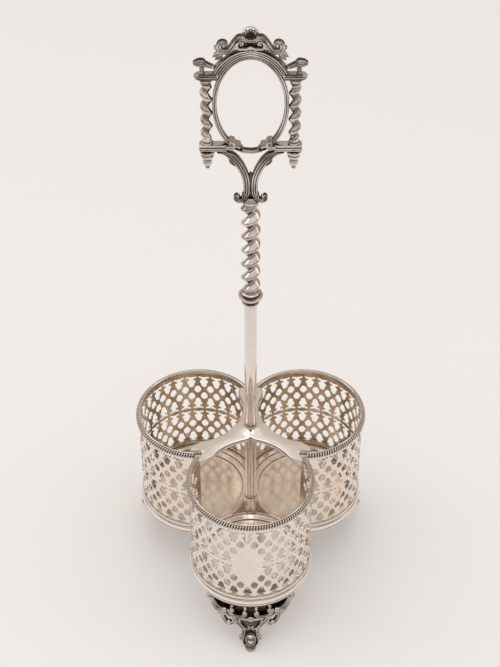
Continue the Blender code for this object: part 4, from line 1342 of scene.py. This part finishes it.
def make_foot(side):
    piece = Piece()
    space = FootSpace(side)
    # top rail under the base's edge
    rail = [(u, APRON_TOP - 1.0) for u in (-31, -24, -16, -8, 0, 8, 16, 24, 31)]
    space.scroll(piece, rail, reeded(2.7, 2.6, 1, 0.5), None, -0.4)
    for sign in (-1, 1):

        def draw(points, *rest, sign=sign):
            space.scroll(piece, mirrored(points, sign), *rest)

        def knob(u, *rest, sign=sign):
            space.button(piece, sign * u, *rest)

        # end of the apron: a ball on a short curl
        knob(34.6, 41.6, 2.3, 0.0)
        line = [(31.5, 44.6), (33.4, 43.6), (35.0, 42.0)]
        draw(line, reeded(3.0, 2.8, 1, 0.5))
        # outer C-scroll with an open slot
        line = [
            (33.0, 43.6), (31.8, 40.4), (29.6, 36.4), (26.4, 33.0), (23.2, 31.2), (20.6, 31.8),
            (19.6, 34.0), (20.6, 36.0),
        ]
        draw(line, reeded(3.9, 3.6, 2, 0.6), taper(8, 0.8, 0.85), 0.3)
        line = [(30.4, 44.4), (28.6, 41.0), (26.2, 38.4), (23.6, 36.8), (21.4, 36.6)]
        draw(line, reeded(3.4, 3.4, 2, 0.5), taper(5, 0.8, 1.05), 0.2)
        knob(31.0, 40.2, 2.0, 0.7)
        knob(19.4, 37.2, 2.25, 0.9)
        knob(24.6, 33.2, 1.7, 0.8)
        # the loop that drops to the leg's shoulder
        line = [
            (20.8, 37.2), (21.8, 33.2), (21.4, 28.6), (19.4, 24.9), (16.4, 23.2), (13.2, 24.6),
            (12.0, 28.2), (12.8, 32.0), (15.4, 34.6),
        ]
        draw(line, reeded(3.9, 3.8, 2, 0.6), taper(9, 0.85, 0.95), 0.4)
        knob(16.2, 24.8, 2.1, 0.9)
        # inner C-scroll along the top
        line = [(15.2, 39.6), (15.8, 37.0), (13.6, 34.2), (9.8, 33.0), (6.0, 33.8), (4.0, 36.4), (4.4, 39.2)]
        draw(line, reeded(3.4, 3.4, 2, 0.5), taper(7, 0.95, 0.95), 0.6)
        knob(13.8, 38.8, 2.15, 0.9)
        knob(4.4, 37.8, 2.0, 1.0)
        draw([(13.0, 44.6), (14.2, 42.6), (14.4, 40.6)], reeded(2.4, 2.6, 1, 0.4))
        draw([(4.6, 44.6), (4.0, 42.6), (4.2, 40.0)], reeded(2.2, 2.4, 1, 0.4))
        # reeded edge of the leg
        line = [(13.4, 33.4), (12.4, 30.2), (9.4, 26.2), (6.6, 22.4), (5.2, 18.0), (5.2, 13.6), (6.2, 10.4)]
        draw(line, reeded(4.1, 3.8, 2, 0.8), taper(7, 1.0, 0.8), 0.7)
        line = [(8.4, 31.4), (8.2, 27.6), (6.4, 23.6), (4.2, 20.6), (2.0, 19.6), (1.0, 21.4), (2.2, 23.0)]
        draw(line, reeded(2.2, 2.8, 1, 0.6), taper(7, 1.0, 0.7), 0.6)
        # curl beside the toe
        line = [(5.2, 15.5), (5.9, 12.8)] + curl(6.1, 10.2, 2.3, 0.7, 80, -250, 10)
        draw(line, bead(1.7, 3.0), taper(len(line), 1.0, 0.6), 0.6, 3)
        knob(6.1, 10.2, 1.0, 1.3)
        draw([(5.8, 8.4), (5.2, 5.2), (3.4, 3.2), (1.6, 2.6)], bead(1.8, 3.0), taper(4, 0.9, 0.7), 0.9, 3)
    add_apron_back(piece, space)
    # strap and ring in the middle of the apron
    strap = [(-13.4, 34.4), (-10.0, 32.0), (-5.0, 30.8), (0.0, 30.6), (5.0, 30.8), (10.0, 32.0), (13.4, 34.4)]
    space.scroll(piece, strap, reeded(3.2, 3.0, 1, 0.6), None, 0.5)
    ring = [(2.0 * math.cos(TAU * i / 14), 31.6 + 2.0 * math.sin(TAU * i / 14)) for i in range(15)]
    space.scroll(piece, ring, bead(1.2, 2.4), None, 1.4, 1)
    add_shield(piece, space)
    add_toe(piece, space)
    piece.finish("openwork_foot_" + side, [CAST], ["foot_" + side])


def add_apron_back(piece, space):
    """A thin sheet behind the apron's scrolls, painted fully dark to stand for the shade under the base."""
    rows = []
    steps = 40
    for i in range(steps + 1):
        u = APRON_HALF * (2 * i / steps - 1)
        edge = 33.0 - 6.5 * max(0.0, 1 - abs(abs(u) - 16.5) / 5.5) + 0.85 * max(0.0, abs(u) - 22.0)
        corners = ((APRON_TOP, -2.2), (edge, -2.2), (edge, -1.4), (APRON_TOP, -1.4))
        rows.append([piece.point(space.place(u, z, proud), 1.0) for z, proud in corners])
    piece.skin(rows)


def add_shield(piece, space):
    """The leg's back plate between its reeded edges, painted dark to stand for the shade behind the openwork.
    """
    levels = [
        (33.5, 12.4), (30.5, 11.8), (26.5, 9.2), (22.5, 6.4), (18.0, 5.2), (14.0, 5.0), (9.0, 5.0),
        (5.0, 4.6), (2.5, 4.2),
    ]
    back = -1.6
    front = 0.1
    rows = []
    for z, half in levels:
        row = []
        for i in range(9):
            u = half * (2 * i / 8 - 1)
            swell = 0.9 * math.sin(math.pi * i / 8)
            row.append(piece.point(space.place(u, z, front + swell), 0.9))
        for i in range(8, -1, -1):
            u = half * (2 * i / 8 - 1)
            row.append(piece.point(space.place(u, z, back), 0.6))
        rows.append(row)
    piece.skin(rows)


def add_toe(piece, space):
    """A rounded toe with an oval stone-like boss in a raised bezel."""
    # painted shade under the foot: the toe's sides are marked almost fully recessed
    outline = [
        (0.0, 0.0, 0.5), (TOE_PAD - 0.3, 0.0, 0.4), (TOE_PAD, 0.3, 0.2), (4.4, 1.2, 0.1), (4.4, 2.4, 0.5),
        (4.1, 4.0, 0.9), (4.0, 7.0, 0.95), (4.1, 9.5, 0.95), (4.0, 12.5, 0.9), (3.3, 14.4, 0.6),
        (1.8, 15.4, 0.3), (0.0, 15.6, 0.2),
    ]
    spot = round_well(space.centre, TOE_OUT * MM, space.turn, 0.0)
    piece.lathe(in_mm(outline), Matrix.Translation(spot), 40)
    out = Vector((math.cos(space.turn), math.sin(space.turn), 0))
    tilt = math.radians(38)
    front = (out * math.cos(tilt) + Vector((0, 0, math.sin(tilt)))).normalized()
    matrix = looking(front)
    heart = spot + out * 1.5 * MM + Vector((0, 0, 12.4 * MM))
    piece.ball(heart, (2.8 * MM, 4.2 * MM, 2.4 * MM), matrix, 12, 24)
    bezel = []
    for i in range(28):
        angle = TAU * i / 28
        spot = Vector((3.3 * MM * math.cos(angle), 4.8 * MM * math.sin(angle), -0.2 * MM))
        bezel.append(heart + matrix.to_3x3() @ spot)
    piece.sweep(bezel, bead(1.15, 1.9), front, closed=True)


# Stage, light and camera


def make_floor():
    half = FLOOR_HALF
    mesh = bpy.data.meshes.new("floor")
    corners = [(-half, -half, 0), (half, -half, 0), (half, half, 0), (-half, half, 0)]
    mesh.from_pydata(corners, [], [(0, 1, 2, 3)])
    floor = add_object("floor", mesh)
    floor.location.z = -0.2 * MM
    material, n, shader, coords = new_material("studio_floor")
    n.link(colour_mix(n, n.noise(coords, 6.0, 2.0), FLOOR_LIGHT, FLOOR_WARM), shader.inputs["Base Color"])
    shader.inputs["Roughness"].default_value = 0.75
    shader.inputs["Specular IOR Level"].default_value = 0.2
    shader.inputs["Emission Color"].default_value = (*FLOOR_LIGHT, 1)
    shader.inputs["Emission Strength"].default_value = FLOOR_GLOW
    mesh.materials.append(material)


def area_light(name, place, target, size, power, colour):
    data = bpy.data.lights.new(name, "AREA")
    data.shape = "RECTANGLE"
    data.size = size[0]
    data.size_y = size[1]
    data.energy = power
    data.color = colour
    light = add_object(name, data)
    light.location = place
    light.rotation_euler = (Vector(target) - light.location).to_track_quat("-Z", "Y").to_euler()


def make_world():
    world = bpy.data.worlds.new("studio")
    bpy.context.scene.world = world
    world.use_nodes = True
    n = Nodes(world.node_tree)
    background = world.node_tree.nodes["Background"]
    coords = n.add("ShaderNodeTexCoord").outputs["Generated"]
    parts = n.add("ShaderNodeSeparateXYZ")
    n.link(coords, parts.inputs[0])
    rise = n.math("ADD", n.math("MULTIPLY", parts.outputs["Z"], 0.5), 0.5)
    sky = n.ramp(rise, [
        (0.0, (0.60, 0.56, 0.52)), (0.5, (0.20, 0.155, 0.125)), (0.6, (0.28, 0.225, 0.185)),
        (0.74, (0.80, 0.76, 0.72)),
        (0.88, (1.0, 0.98, 0.96)), (1.0, (1.0, 0.98, 0.96)),
    ])
    behind = n.ramp(parts.outputs["Y"], [(0.3, 0.0), (0.62, 1.0)])
    room = colour_mix(n, n.math("MULTIPLY", behind, BACK_WALL_SHARE), sky, BACK_WALL)
    # past the floor's edge the room itself shows as a plain pale backdrop
    seen = n.add("ShaderNodeLightPath").outputs["Is Camera Ray"]
    n.link(colour_mix(n, seen, room, BACKDROP), background.inputs["Color"])
    background.inputs["Strength"].default_value = ROOM_STRENGTH


def make_lights():
    area_light("top_box", (-0.1, -0.25, 2.0), (0, 0.05, 0), (1.6, 1.0), 4.4, (1.0, 0.99, 0.98))
    area_light("left_box", (-1.4, 0.1, 1.1), (0, 0, 0.2), (0.7, 1.2), 2.7, (1.0, 0.975, 0.95))
    area_light("right_box", (1.5, -0.2, 0.9), (0, 0, 0.2), (0.5, 1.0), 1.4, (1.0, 0.97, 0.94))


def make_camera():
    data = bpy.data.cameras.new("camera")
    data.sensor_fit = "VERTICAL"
    data.sensor_height = 36.0
    data.lens = LENS
    data.shift_x = SHIFT_X
    data.shift_y = SHIFT_Y
    data.clip_start = 0.01
    camera = add_object("camera", data)
    camera.location = (0, AXIS_Y - CAMERA_BACK, CAMERA_HEIGHT)
    camera.rotation_euler = (math.radians(90 - CAMERA_PITCH), 0, 0)
    bpy.context.scene.camera = camera


def keep_all(kind, across):
    return False


def leave_cartouche(kind, across):
    """The front gallery's plain panel: the holes nearest its middle stay shut."""
    place = across - FRONT_PHASE
    return (kind == "first" and abs(place) < 0.1) or (kind == "inner" and abs(place) < 0.6)


make_camera()
make_world()
make_lights()
make_floor()
make_base()
make_gallery("front", FRONT_PHASE, leave_cartouche)
make_gallery("left", 0.0, keep_all)
make_gallery("right", 0.0, keep_all)
for well in OUTWARD:
    make_rim(well)
    make_foot(well)
make_bracket()
make_collar()
make_stem()
make_knop()
make_rod()
make_washer()
make_nut()
make_twists()
make_yoke()
make_rosette()
make_ring()
make_arch()
make_bars()
make_crest()

bpy.context.scene.view_settings.view_transform = "Standard"
